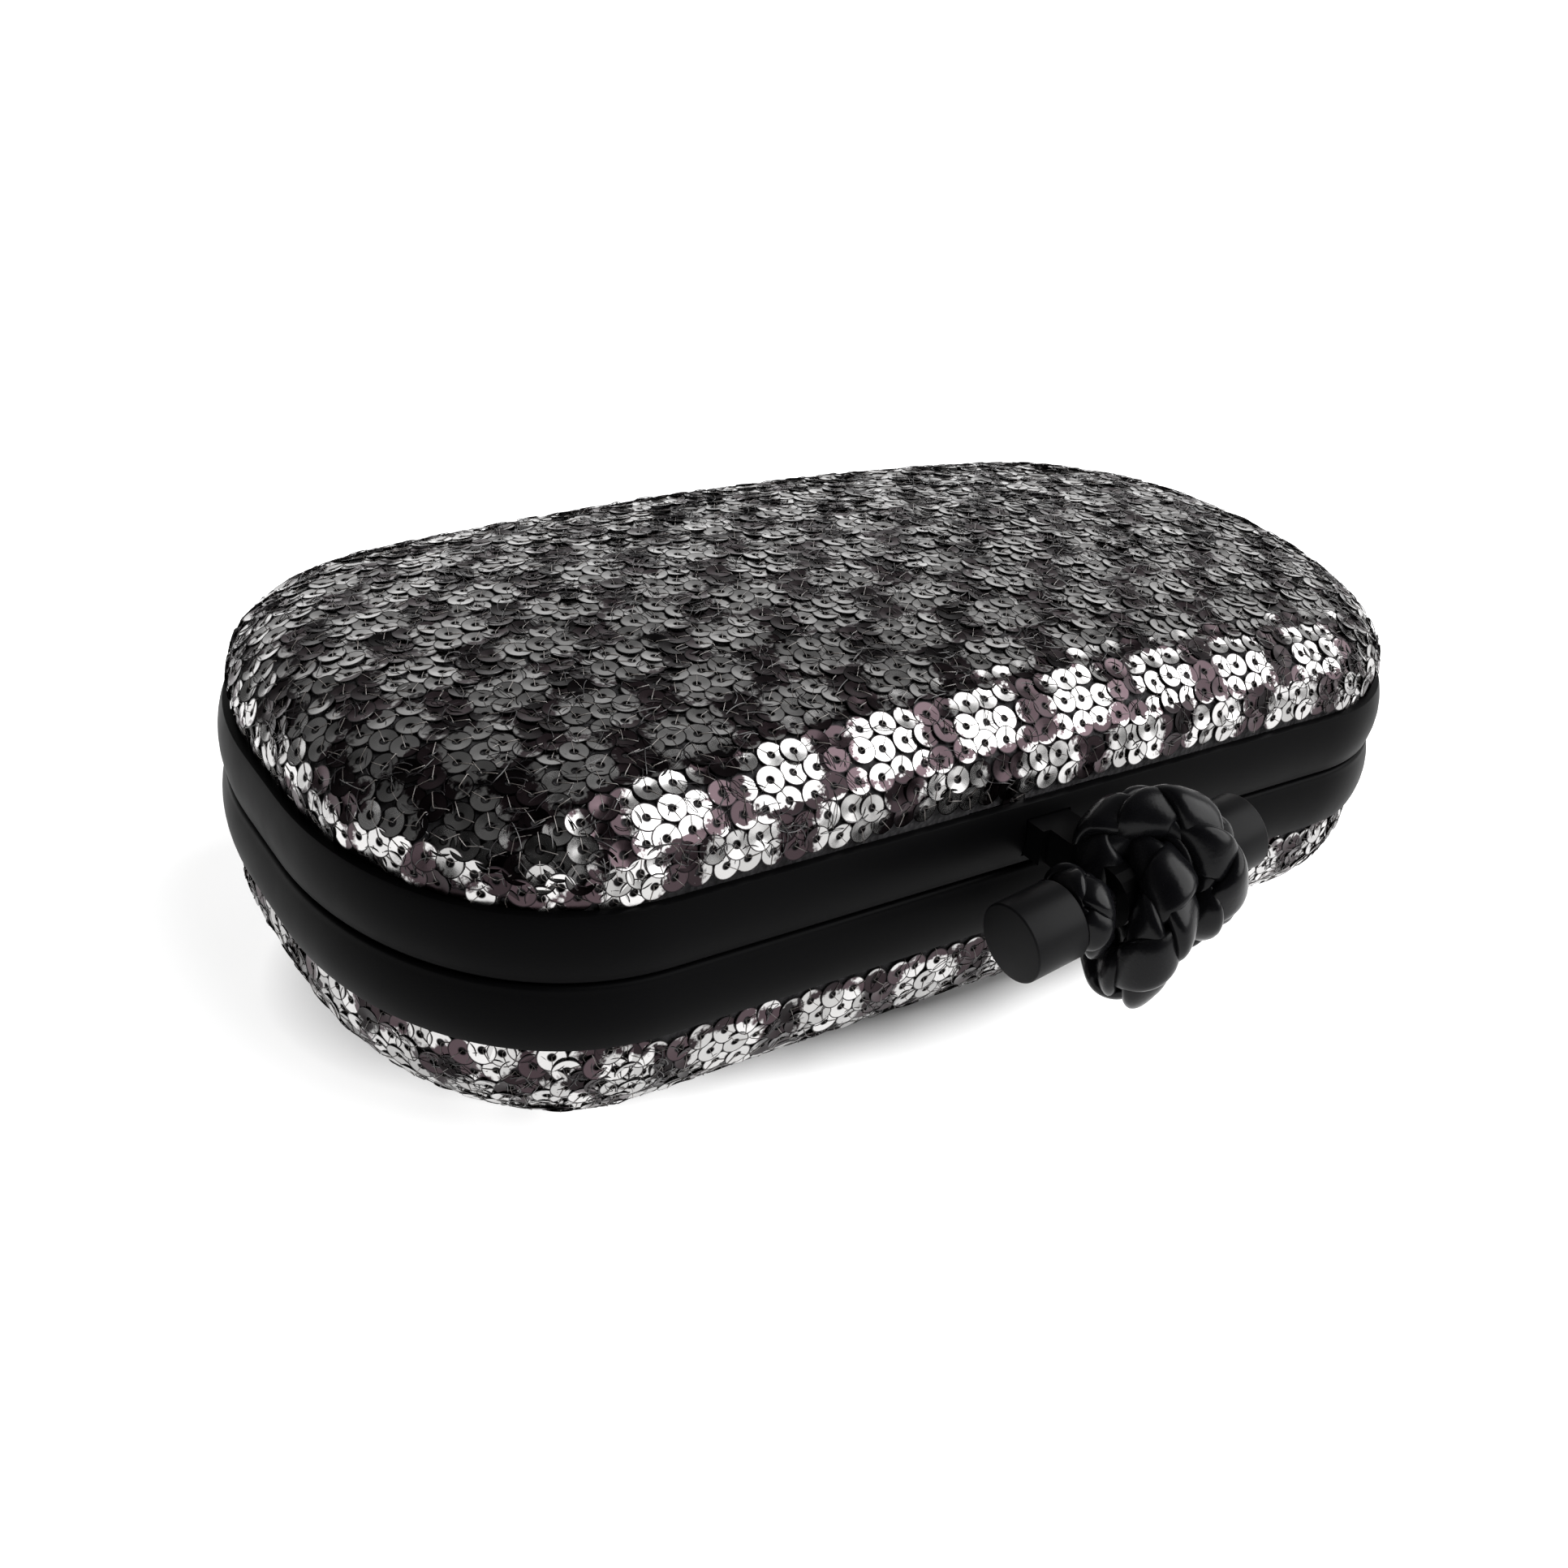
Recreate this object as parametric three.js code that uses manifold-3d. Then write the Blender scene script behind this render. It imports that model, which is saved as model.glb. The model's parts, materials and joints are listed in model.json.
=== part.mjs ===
// Hard evening clutch: two domed halves in black metal rails, hinged along the back,
// closed at the front by a knotted push clasp.
// Millimetres. +X runs along the length, -Y is the front with the clasp, +Z is up.
// The origin is the centre of the flat underside.

import * as THREE from 'three';
import { mergeVertices } from 'three/addons/utils/BufferGeometryUtils.js';
import Module from 'manifold-3d';

const wasm = await Module();
wasm.setup();

// ---------- Driving dimensions ----------

const LENGTH = 200; // over the rails, along X
const WIDTH = 110; // over the rails, along Y
const CORNER_ALONG = 37.4; // stretch of the length that a corner takes
const CORNER_ACROSS = 48.5; // stretch of the width that a corner takes
const CORNER_POWER = 2.13; // 2 is an ellipse, more is squarer
const RAIL_HEIGHT = 10.5; // each rail, measured from the seam
const LOWER_DEPTH = 20.5; // lower dome, below its rail
const GAP = 0.3; // clearance between neighbouring pieces
const SEAM_HALF_GAP = 0.2; // each rail stops this far from the seam plane

const SEAM = LOWER_DEPTH + RAIL_HEIGHT; // height of the seam plane

// Rails: a wall with a slightly convex outer face and a lip that points inwards at the seam.
const RAIL_WALL = 2.4;
const RAIL_BULGE = 0.95;
const LIP_REACH = 7.1; // inset of the lip's inner edge
const LIP_TOP = 1.8; // distance from the seam to the lip's far face

// Layers of a dome, as depths under its outer surface.
const COVER = { from: 0, to: 1.2 };
const PADDING = { from: 1.5, to: 2.7 };
const SHELL = { from: 3.0, to: 4.6 };
const LINING = { from: 4.9, to: 5.7 };
const DOME_RIM_INSET = 1.2; // outer surface of the cover where it meets the rail
const DOME_EDGE = RAIL_HEIGHT + GAP; // distance from the seam at which the domes start
const HEM = { outer: RAIL_WALL + GAP, inner: 3.6, end: 4.6, root: 11.9 };

// Steps round the outline and over the domes.
const CORNER_STEPS = 7;
const SIDE_STEPS = 3;
const SHOULDER_STEPS = 5;
const RAIL_FACE_STEPS = 4;
const ROUND_STEPS = 20;

// The two halves. side is the direction away from the seam. A shoulder turns in by its radius
// and rises to the crown, the height of the inner part of the dome above the rail.
const UPPER = { side: 1, shoulder: 16.8, power: 2.49, crown: upperCrown, crownRings: [0.5] };
const LOWER = { side: -1, shoulder: 20.8, power: 2, crown: () => LOWER_DEPTH, crownRings: [] };
const CROWN_CORNER = 7.6;
const CROWN_RISE_ALONG = 6.14;
const CROWN_RISE_ACROSS = 6.23;

// Hinge on the back of the rails.
const HINGE_LENGTH = 70;
const KNUCKLES = 5;
const KNUCKLE_GAP = 0.4;
const BARREL_RADIUS = 2;
const PIN_RADIUS = 0.95;
const PIN_HOLE_RADIUS = 1.2;
const PIN_HEAD = { radius: 1.7, length: 0.8 };
const HINGE_Y = WIDTH / 2 + 2.2;
const LEAF = { from: WIDTH / 2 + GAP, to: WIDTH / 2 + 1.5, near: 3.2, far: 9.2 };
const RIVET = { radius: 0.95, headRadius: 1.9, headHeight: 0.7, spacing: 26, height: 6.2 };
const RIVET_HOLE_RADIUS = 1.25;

// Clasp: a lug slides through a mortise in the upper rail. Its outer end holds a thin rod
// with a plain cylinder on each end, and a leather cord is knotted round both.
const TRAVEL = 2; // how far the clasp is pressed in
const LUG = { halfWidth: 4, bottom: 2.2, top: 8, innerEnd: -42.9, shoulder: -58.2, neckHalfWidth: 2.6 };
const EYE_RADIUS = 4.8;
const ROD_CENTRE = new THREE.Vector3(2.2, -70.8, SEAM + 4.4);
const ROD_YAW = THREE.MathUtils.degToRad(2.1);
const ROD_TILT = THREE.MathUtils.degToRad(7.2); // the right end is the higher one
const ROD = { radius: 2, halfLength: 19.6 };
const CAP = { radius: 5.9, from: 13.4, to: 22.6, boreEnd: 20.2, chamfer: 0.4 };
const KNOT_LOBES = [
  { centre: [-3.5, -72, SEAM + 3.6], radii: [7.8, 8, 8.2] },
  { centre: [2, -72, SEAM + 4.5], radii: [10, 9, 9.5] },
  { centre: [4.5, -72.5, SEAM + 8], radii: [11, 10.5, 11] },
  { centre: [-2, -76.5, SEAM + 0.5], radii: [7.5, 8, 10.5] },
];

// Latch: a hook on the lug's inner end reaches down past the seam behind the strike plate.
const HOOK = { halfWidth: 4.5, front: LUG.innerEnd + GAP, thickness: 1.4, foot: 1.4, top: 8, below: 5.7 };
const FOOT_TOP = 4.1;
const SPRING = { radius: 2.7, wire: 0.3, turns: 3, pressedLength: 2.6 };
const HOUSING_END = HOOK.front + HOOK.thickness + SPRING.pressedLength + TRAVEL;
const HOUSING = { halfWidth: 7, wall: 2.2, top: 10.3, front: -52.2, back: HOUSING_END + 1.6 };
const FLANGE = { halfWidth: 13, thickness: 1.6, back: -47 };
const STRIKE = { halfWidth: 12.6, front: -51.5, back: -44.4 };
const WINDOW_MARGIN = 0.6;
const LIP_SCREW = { radius: 0.9, headRadius: 1.7, head: 0.35, neck: 1.15, end: 4, x: 10.8, y: -50.25 };
const LIP_HOLE = { radius: 1.2, headRadius: 2, headEnd: 1.45 };
const HOOK_SCREW = { radius: 0.9, headRadius: 1.8, headLength: 1, reach: 5 };
const HOOK_SCREW_HEIGHT = 5.1;

// ---------- Materials ----------

const BLACK_METAL = { color: 0x111113, roughness: 0.42, metalness: 0.8 };
const STEEL = { color: 0x8b8d91, roughness: 0.35, metalness: 1 };
const SEQUINS = { color: 0x6d6d72, roughness: 0.3, metalness: 0.6 };
const FOAM = { color: 0x3c3c40, roughness: 0.95, metalness: 0 };
const BOARD = { color: 0x2a2622, roughness: 0.85, metalness: 0 };
const SUEDE = { color: 0x17161a, roughness: 0.95, metalness: 0 };
const LEATHER = { color: 0x0c0c0d, roughness: 0.45, metalness: 0 };

const bag = new THREE.Group();

// Adds a named sub-part. The shape is a manifold solid or a three.js geometry.
function addPart(name, shape, look) {
  const geometry = shape.isBufferGeometry ? shape : toGeometry(shape);
  geometry.computeVertexNormals();
  const mesh = new THREE.Mesh(geometry, new THREE.MeshStandardMaterial(look));
  mesh.name = name;
  bag.add(mesh);
}

// ---------- Solids ----------

function toGeometry(solid) {
  const mesh = solid.getMesh();
  const geometry = new THREE.BufferGeometry();
  geometry.setAttribute('position', new THREE.BufferAttribute(mesh.vertProperties, 3));
  geometry.setIndex(new THREE.BufferAttribute(mesh.triVerts, 1));
  return geometry;
}

function toSolid(geometry) {
  const bare = geometry.clone();
  bare.deleteAttribute('normal');
  bare.deleteAttribute('uv');
  const merged = mergeVertices(bare, 1e-5);
  const vertProperties = new Float32Array(merged.attributes.position.array);
  const triVerts = new Uint32Array(merged.index.array);
  return new wasm.Manifold(new wasm.Mesh({ numProp: 3, vertProperties, triVerts }));
}

function box(low, high) {
  const size = low.map((value, i) => high[i] - value);
  const middle = low.map((value, i) => (value + high[i]) / 2);
  return toSolid(new THREE.BoxGeometry(...size).translate(...middle));
}

// A lathe solid from (radius, distance) points that start and end on the axis, along +X.
function turnedAlongX(points, steps = ROUND_STEPS) {
  const profile = points.map(([radius, distance]) => new THREE.Vector2(radius, distance));
  return new THREE.LatheGeometry(profile, steps).rotateZ(-Math.PI / 2);
}

function rod(radius, from, to, steps) {
  return turnedAlongX([[0, from], [radius, from], [radius, to], [0, to]], steps);
}

// Distance from the seam to height above the underside, in either half.
function heightOf(half, distance) {
  return SEAM + half.side * distance;
}

// A box in a half, its third size measured away from the seam.
function halfBox(half, [x0, y0, near], [x1, y1, far]) {
  const z0 = heightOf(half, near);
  const z1 = heightOf(half, far);
  return box([x0, y0, Math.min(z0, z1)], [x1, y1, Math.max(z0, z1)]);
}

// The plan outline, inset evenly: straight sides joined by superelliptic corners.
function outline(inset) {
  const straightX = LENGTH / 2 - CORNER_ALONG;
  const straightY = WIDTH / 2 - CORNER_ACROSS;
  const cornerX = CORNER_ALONG - inset;
  const cornerY = CORNER_ACROSS - inset;
  const points = [];
  for (const [signX, signY, start] of [[1, 1, 0], [-1, 1, 1], [-1, -1, 2], [1, -1, 3]]) {
    for (let step = 0; step <= CORNER_STEPS; step += 1) {
      const angle = (start + step / CORNER_STEPS) * (Math.PI / 2);
      const x = straightX + cornerX * Math.abs(Math.cos(angle)) ** (2 / CORNER_POWER);
      const y = straightY + cornerY * Math.abs(Math.sin(angle)) ** (2 / CORNER_POWER);
      points.push([signX * x, signY * y]);
    }
    const onLongSide = start === 0 || start === 2;
    for (let step = 1; onLongSide && step < SIDE_STEPS; step += 1) {
      const x = straightX * (1 - (2 * step) / SIDE_STEPS);
      points.push([signX * x, signY * (straightY + cornerY)]);
    }
  }
  return points;
}

function ring(half, inset, distance) {
  return outline(inset).map(([x, y]) => new THREE.Vector3(x, y, heightOf(half, distance)));
}

// Joins rings of equally many points into one closed solid. With two tips the surface runs
// from the first tip through the rings to the second; without tips the rings close on themselves.
function ringSolid(rings, tips = []) {
  const count = rings[0].length;
  const points = [...rings.flat(), ...tips];
  const triangles = [];
  const seams = tips.length ? rings.length - 1 : rings.length;
  for (let row = 0; row < seams; row += 1) {
    const a = row * count;
    const b = ((row + 1) % rings.length) * count;
    for (let i = 0; i < count; i += 1) {
      const j = (i + 1) % count;
      triangles.push(...quad(points, a + i, a + j, b + j, b + i));
    }
  }
  if (tips.length) {
    const first = rings.length * count;
    const last = (rings.length - 1) * count;
    for (let i = 0; i < count; i += 1) {
      const j = (i + 1) % count;
      triangles.push(first, j, i, first + 1, last + i, last + j);
    }
  }
  return toSolid(outwards(points, triangles));
}

// Two triangles for a four-cornered face, split along its shorter diagonal, so that
// neighbouring layers bend along the same lines.
function quad(points, a, b, c, d) {
  const splitsAC = points[a].distanceTo(points[c]) < points[b].distanceTo(points[d]);
  return splitsAC ? [a, b, c, a, c, d] : [a, b, d, b, c, d];
}

// Indexed geometry whose faces point out, whichever way round the triangles were listed.
function outwards(points, triangles) {
  let volume = 0;
  for (let i = 0; i < triangles.length; i += 3) {
    const [a, b, c] = [0, 1, 2].map((k) => points[triangles[i + k]]);
    volume += a.dot(new THREE.Vector3().crossVectors(b, c));
  }
  const order = volume > 0 ? triangles : triangles.slice().reverse();
  const geometry = new THREE.BufferGeometry().setFromPoints(points);
  return geometry.setIndex(order);
}

// ---------- Domes ----------

function upperCrown(x, y) {
  const along = CROWN_RISE_ALONG * (1 - (x / (LENGTH / 2)) ** 2);
  const across = CROWN_RISE_ACROSS * (1 - (y / (WIDTH / 2)) ** 2);
  return CROWN_CORNER + along + across;
}

function crownPoint(half, depth, x, y, share = 1) {
  const rise = (half.crown(x, y) - GAP - depth) * share;
  return new THREE.Vector3(x, y, heightOf(half, DOME_EDGE + rise));
}

// The rings of one dome surface, from the first shoulder step out of firstStep to the crown.
function domeRings(half, depth, firstStep) {
  const rings = [];
  for (let step = firstStep; step <= SHOULDER_STEPS; step += 1) {
    const angle = (step / SHOULDER_STEPS) * (Math.PI / 2);
    const turnedIn = 1 - Math.abs(Math.cos(angle)) ** (2 / half.power);
    const risen = Math.sin(angle) ** (2 / half.power);
    const inset = DOME_RIM_INSET + depth + (half.shoulder - depth) * turnedIn;
    rings.push(outline(inset).map(([x, y]) => crownPoint(half, depth, x, y, risen)));
  }
  const top = rings[rings.length - 1];
  for (const share of half.crownRings) {
    rings.push(top.map((point) => crownPoint(half, depth, point.x * share, point.y * share)));
  }
  return rings;
}

// A layer between two depths, with the rings of its rim between its two surfaces.
function domeLayer(half, layer, rim, firstOuter = 0, firstInner = 0) {
  const outer = domeRings(half, layer.from, firstOuter).reverse();
  const inner = domeRings(half, layer.to, firstInner);
  const tips = [crownPoint(half, layer.from, 0, 0), crownPoint(half, layer.to, 0, 0)];
  return ringSolid([...outer, ...rim, ...inner], tips);
}

// Fabric cover, with the hem that the rail grips.
function cover(half) {
  const rim = [
    ring(half, HEM.outer, DOME_EDGE),
    ring(half, HEM.outer, HEM.end),
    ring(half, HEM.inner, HEM.end),
    ring(half, HEM.inner, HEM.root),
  ];
  return domeLayer(half, COVER, rim, 0, 1);
}

function padding(half) {
  return domeLayer(half, PADDING, [], 1, 1);
}

// Shell and lining carry on up behind the rail to its lip.
function tray(half, layer) {
  const end = LIP_TOP + GAP;
  const rim = [
    ring(half, DOME_RIM_INSET + layer.from, end),
    ring(half, DOME_RIM_INSET + layer.to, end),
  ];
  return domeLayer(half, layer, rim);
}

// ---------- Rails ----------

function rail(half) {
  const middle = (RAIL_HEIGHT + SEAM_HALF_GAP) / 2;
  const reach = (RAIL_HEIGHT - SEAM_HALF_GAP) / 2;
  const profile = [];
  for (let step = 0; step <= RAIL_FACE_STEPS; step += 1) {
    const across = (2 * step) / RAIL_FACE_STEPS - 1;
    profile.push([RAIL_BULGE * across ** 2, middle + reach * across]);
  }
  profile.push([RAIL_WALL, RAIL_HEIGHT], [RAIL_WALL, LIP_TOP]);
  profile.push([LIP_REACH, LIP_TOP], [LIP_REACH, SEAM_HALF_GAP]);
  const body = ringSolid(profile.map(([inset, distance]) => ring(half, inset, distance)));
  return body.subtract(lipScrewHoles(half)).subtract(rivetHoles(half));
}

function upperRail() {
  const mortise = halfBox(
    UPPER,
    [-LUG.halfWidth - GAP, -WIDTH / 2 - 1, LUG.bottom - GAP],
    [LUG.halfWidth + GAP, -WIDTH / 2 + RAIL_WALL + 1, LUG.top + GAP],
  );
  return rail(UPPER).subtract(mortise);
}

// ---------- Hinge ----------

function knuckle(half, index) {
  const length = (HINGE_LENGTH - (KNUCKLES - 1) * KNUCKLE_GAP) / KNUCKLES;
  const from = -HINGE_LENGTH / 2 + index * (length + KNUCKLE_GAP);
  const barrel = rod(BARREL_RADIUS, from, from + length, 16).translate(0, HINGE_Y, SEAM);
  const web = halfBox(half, [from, LEAF.from, 0], [from + length, LEAF.to, LEAF.near + 1]);
  return toSolid(barrel).add(web);
}

function hingeLeaf(half, knuckleNumbers) {
  const plateEnd = HINGE_LENGTH / 2;
  let leaf = halfBox(half, [-plateEnd, LEAF.from, LEAF.near], [plateEnd, LEAF.to, LEAF.far]);
  for (const index of knuckleNumbers) {
    leaf = leaf.add(knuckle(half, index));
  }
  const pinHole = rod(PIN_HOLE_RADIUS, -plateEnd - 1, plateEnd + 1, 16).translate(0, HINGE_Y, SEAM);
  return leaf.subtract(toSolid(pinHole)).subtract(rivetHoles(half));
}

function hingePin() {
  const end = HINGE_LENGTH / 2 + GAP;
  const { radius, length } = PIN_HEAD;
  const profile = [
    [0, -end - length], [radius, -end - length], [radius, -end], [PIN_RADIUS, -end],
    [PIN_RADIUS, end], [radius, end], [radius, end + length], [0, end + length],
  ];
  return turnedAlongX(profile, 16).translate(0, HINGE_Y, SEAM);
}

// Turns a shape made along +X so that it points along +Y, and places it at a rivet.
function atRivet(half, place, geometry) {
  const z = heightOf(half, RIVET.height);
  return geometry.rotateZ(Math.PI / 2).translate(place * RIVET.spacing, 0, z);
}

function rivet(half, place) {
  const tail = WIDTH / 2 - RAIL_WALL + GAP / 2;
  const underHead = LEAF.to + GAP;
  const top = underHead + RIVET.headHeight;
  const profile = [
    [0, tail], [RIVET.radius, tail], [RIVET.radius, underHead], [RIVET.headRadius, underHead],
    [RIVET.headRadius, underHead + GAP], [RIVET.headRadius / 2, top], [0, top],
  ];
  return atRivet(half, place, turnedAlongX(profile, 12));
}

function rivetHoles(half) {
  const from = WIDTH / 2 - RAIL_WALL - 1;
  const holes = [-1, 0, 1].map((place) => {
    return toSolid(atRivet(half, place, rod(RIVET_HOLE_RADIUS, from, LEAF.to + 1, 12)));
  });
  return holes[0].add(holes[1]).add(holes[2]);
}

// ---------- Screws through the lips ----------

// Turns a shape made along +X so that it points away from the seam, beside the latch.
function atLipScrew(half, side, geometry) {
  const turned = geometry.rotateY(half.side * (-Math.PI / 2));
  return turned.translate(side * LIP_SCREW.x, LIP_SCREW.y, SEAM);
}

function lipScrew(half, side) {
  const { radius, headRadius, head, neck, end } = LIP_SCREW;
  const profile = [[0, head], [headRadius, head], [radius, neck], [radius, end], [0, end]];
  return atLipScrew(half, side, turnedAlongX(profile, 12));
}

function lipScrewHoles(half) {
  const holes = [];
  for (const side of [-1, 1]) {
    holes.push(atLipScrew(half, side, rod(LIP_HOLE.radius, -1, LIP_SCREW.end + 1, 12)));
    holes.push(atLipScrew(half, side, rod(LIP_HOLE.headRadius, -1, LIP_HOLE.headEnd, 12)));
  }
  return holes.map(toSolid).reduce((all, hole) => all.add(hole));
}

// ---------- Latch ----------

// Room for the latch housing in the hem, shell and lining of the lid.
function housingWindow() {
  const halfWidth = FLANGE.halfWidth + WINDOW_MARGIN;
  const top = HOUSING.top + GAP;
  return halfBox(UPPER, [-halfWidth, HOUSING.front - GAP, 0], [halfWidth, HOUSING.back, top]);
}

// Room for the strike plate in the rims of the lower shell and lining.
function strikeWindow() {
  const halfWidth = STRIKE.halfWidth + WINDOW_MARGIN;
  const far = LIP_TOP + GAP + FLANGE.thickness + WINDOW_MARGIN;
  return halfBox(LOWER, [-halfWidth, STRIKE.front - GAP, 0], [halfWidth, STRIKE.back, far]);
}

function latchHousing() {
  const near = LIP_TOP + GAP;
  const { halfWidth, wall, top, front, back } = HOUSING;
  const block = halfBox(UPPER, [-halfWidth, front, near], [halfWidth, back, top]);
  const flange = halfBox(
    UPPER,
    [-FLANGE.halfWidth, front, near],
    [FLANGE.halfWidth, FLANGE.back, near + FLANGE.thickness],
  );
  const hollow = halfBox(
    UPPER,
    [wall - halfWidth, front - 1, near - 1],
    [halfWidth - wall, HOUSING_END, LUG.top + GAP],
  );
  return block.add(flange).subtract(hollow).subtract(lipScrewHoles(UPPER));
}

function strikePlate() {
  const near = LIP_TOP + GAP;
  const { halfWidth, front, back } = STRIKE;
  const plate = halfBox(LOWER, [-halfWidth, front, near], [halfWidth, back, near + FLANGE.thickness]);
  return plate.subtract(lipScrewHoles(LOWER));
}

function latchHook() {
  const { halfWidth, front, thickness, foot, top, below } = HOOK;
  const blade = box(
    [-halfWidth, front, SEAM - below],
    [halfWidth, front + thickness, SEAM + top],
  );
  const toe = box([-halfWidth, front - foot, SEAM - below], [halfWidth, front + 1, SEAM - FOOT_TOP]);
  return blade.add(toe).subtract(hookScrewHole());
}

// Turns a shape made along +X so that it points along -Y, on the axis of the hook's screw.
function atHookScrew(geometry) {
  return geometry.rotateZ(-Math.PI / 2).translate(0, 0, SEAM + HOOK_SCREW_HEIGHT);
}

function hookScrew() {
  const underHead = -(HOOK.front + HOOK.thickness + GAP);
  const { radius, headRadius, headLength, reach } = HOOK_SCREW;
  const tip = -LUG.innerEnd + reach;
  const profile = [
    [0, underHead - headLength], [headRadius, underHead - headLength], [headRadius, underHead],
    [radius, underHead], [radius, tip], [0, tip],
  ];
  return atHookScrew(turnedAlongX(profile, 12));
}

function hookScrewHole() {
  const from = -(HOOK.front + HOOK.thickness + 1);
  const to = -LUG.innerEnd + HOOK_SCREW.reach + GAP;
  return toSolid(atHookScrew(rod(HOOK_SCREW.radius + GAP, from, to, 12)));
}

class CoilCurve extends THREE.Curve {
  constructor(radius, turns, length) {
    super();
    this.radius = radius;
    this.turns = turns;
    this.length = length;
  }

  getPoint(t, target = new THREE.Vector3()) {
    const angle = 2 * Math.PI * this.turns * t;
    return target.set(this.radius * Math.cos(angle), this.length * t, this.radius * Math.sin(angle));
  }
}

function latchSpring() {
  const { radius, wire, turns } = SPRING;
  const from = HOOK.front + HOOK.thickness + GAP + wire;
  const to = HOUSING_END - GAP - wire;
  const section = new THREE.Shape();
  for (let side = 0; side < 6; side += 1) {
    const angle = (side * Math.PI) / 3;
    const method = side === 0 ? 'moveTo' : 'lineTo';
    section[method](wire * Math.cos(angle), wire * Math.sin(angle));
  }
  const extrudePath = new CoilCurve(radius, turns, to - from);
  const coil = new THREE.ExtrudeGeometry(section, { steps: 12 * turns, bevelEnabled: false, extrudePath });
  return toSolid(coil.translate(0, from, SEAM + HOOK_SCREW_HEIGHT));
}

// ---------- Clasp ----------

// Puts a shape made along +X, centred on the origin, on the axis of the clasp's rod.
function onRodAxis(geometry) {
  return toSolid(geometry.rotateY(-ROD_TILT).rotateZ(ROD_YAW).translate(...ROD_CENTRE.toArray()));
}

// The bar that slides in the rail, a narrower neck outside it and the eye round the rod.
function lugSolid(margin) {
  const { halfWidth, bottom, top, innerEnd, shoulder, neckHalfWidth } = LUG;
  const bar = halfBox(
    UPPER,
    [-halfWidth - margin, shoulder - margin, bottom - margin],
    [halfWidth + margin, innerEnd, top + margin],
  );
  const neck = halfBox(
    UPPER,
    [-neckHalfWidth - margin, ROD_CENTRE.y, bottom - margin],
    [neckHalfWidth + margin, shoulder + 1, top + margin],
  );
  const from = -neckHalfWidth - ROD_CENTRE.x - margin;
  const to = neckHalfWidth - ROD_CENTRE.x + margin;
  return bar.add(neck).add(onRodAxis(rod(EYE_RADIUS + margin, from, to)));
}

function rodHole() {
  return onRodAxis(rod(ROD.radius + GAP, -ROD.halfLength - 1, ROD.halfLength + 1));
}

function claspLug() {
  return lugSolid(0).subtract(rodHole()).subtract(hookScrewHole());
}

function claspRod() {
  return onRodAxis(rod(ROD.radius, -ROD.halfLength, ROD.halfLength));
}

// The cylinder on one end of the rod, with a blind hole for it.
function claspCap(side) {
  const { radius, from, to, boreEnd, chamfer } = CAP;
  const hole = ROD.radius + GAP;
  const profile = [
    [0, boreEnd], [hole, boreEnd], [hole, from], [radius - chamfer, from], [radius, from + chamfer],
    [radius, to - chamfer], [radius - chamfer, to], [0, to],
  ];
  const cap = turnedAlongX(profile, 24);
  return onRodAxis(side > 0 ? cap : cap.rotateZ(Math.PI));
}

function capRoom(side) {
  const ends = [CAP.from - GAP, CAP.to + 1].map((distance) => side * distance);
  return onRodAxis(rod(CAP.radius + GAP, Math.min(...ends), Math.max(...ends), 24));
}

// Outer shape of the tied cord, hollowed for the lug, the rod and the two cylinders.
function claspKnot() {
  const lobes = KNOT_LOBES.map(({ centre, radii }) => {
    return toSolid(new THREE.SphereGeometry(1, 18, 12).scale(...radii).translate(...centre));
  });
  const mass = lobes.reduce((all, lobe) => all.add(lobe));
  return mass.subtract(lugSolid(GAP)).subtract(rodHole()).subtract(capRoom(-1)).subtract(capRoom(1));
}

// ---------- Assembly ----------

const PLACES = [['left', -1], ['middle', 0], ['right', 1]];
const SIDES = [['left', -1], ['right', 1]];

function addLowerHalf() {
  addPart('lower_frame', rail(LOWER), BLACK_METAL);
  addPart('lower_shell', tray(LOWER, SHELL).subtract(strikeWindow()), BOARD);
  addPart('lower_padding', padding(LOWER), FOAM);
  addPart('lower_cover', cover(LOWER), SEQUINS);
  addPart('lower_lining', tray(LOWER, LINING).subtract(strikeWindow()), SUEDE);
  addPart('strike_plate', strikePlate(), STEEL);
  for (const [word, side] of SIDES) {
    addPart(`strike_screw_${word}`, lipScrew(LOWER, side), STEEL);
  }
}

function addUpperHalf() {
  const window = housingWindow();
  addPart('upper_frame', upperRail(), BLACK_METAL);
  addPart('upper_shell', tray(UPPER, SHELL).subtract(window), BOARD);
  addPart('upper_padding', padding(UPPER), FOAM);
  addPart('upper_cover', cover(UPPER).subtract(window), SEQUINS);
  addPart('upper_lining', tray(UPPER, LINING).subtract(window), SUEDE);
  addPart('latch_housing', latchHousing(), STEEL);
  addPart('latch_spring', latchSpring(), STEEL);
  for (const [word, side] of SIDES) {
    addPart(`latch_screw_${word}`, lipScrew(UPPER, side), STEEL);
  }
}

function addHinge() {
  addPart('hinge_leaf_lower', hingeLeaf(LOWER, [0, 2, 4]), BLACK_METAL);
  addPart('hinge_leaf_upper', hingeLeaf(UPPER, [1, 3]), BLACK_METAL);
  addPart('hinge_pin', hingePin(), STEEL);
  for (const [word, place] of PLACES) {
    addPart(`hinge_rivet_lower_${word}`, rivet(LOWER, place), BLACK_METAL);
    addPart(`hinge_rivet_upper_${word}`, rivet(UPPER, place), BLACK_METAL);
  }
}

function addClasp() {
  addPart('clasp_lug', claspLug(), BLACK_METAL);
  addPart('clasp_rod', claspRod(), STEEL);
  addPart('clasp_cap_left', claspCap(-1), BLACK_METAL);
  addPart('clasp_cap_right', claspCap(1), BLACK_METAL);
  addPart('clasp_knot', claspKnot(), LEATHER);
  addPart('latch_hook', latchHook(), STEEL);
  addPart('hook_screw', hookScrew(), STEEL);
}

addLowerHalf();
addUpperHalf();
addHinge();
addClasp();

export default bag;
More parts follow.
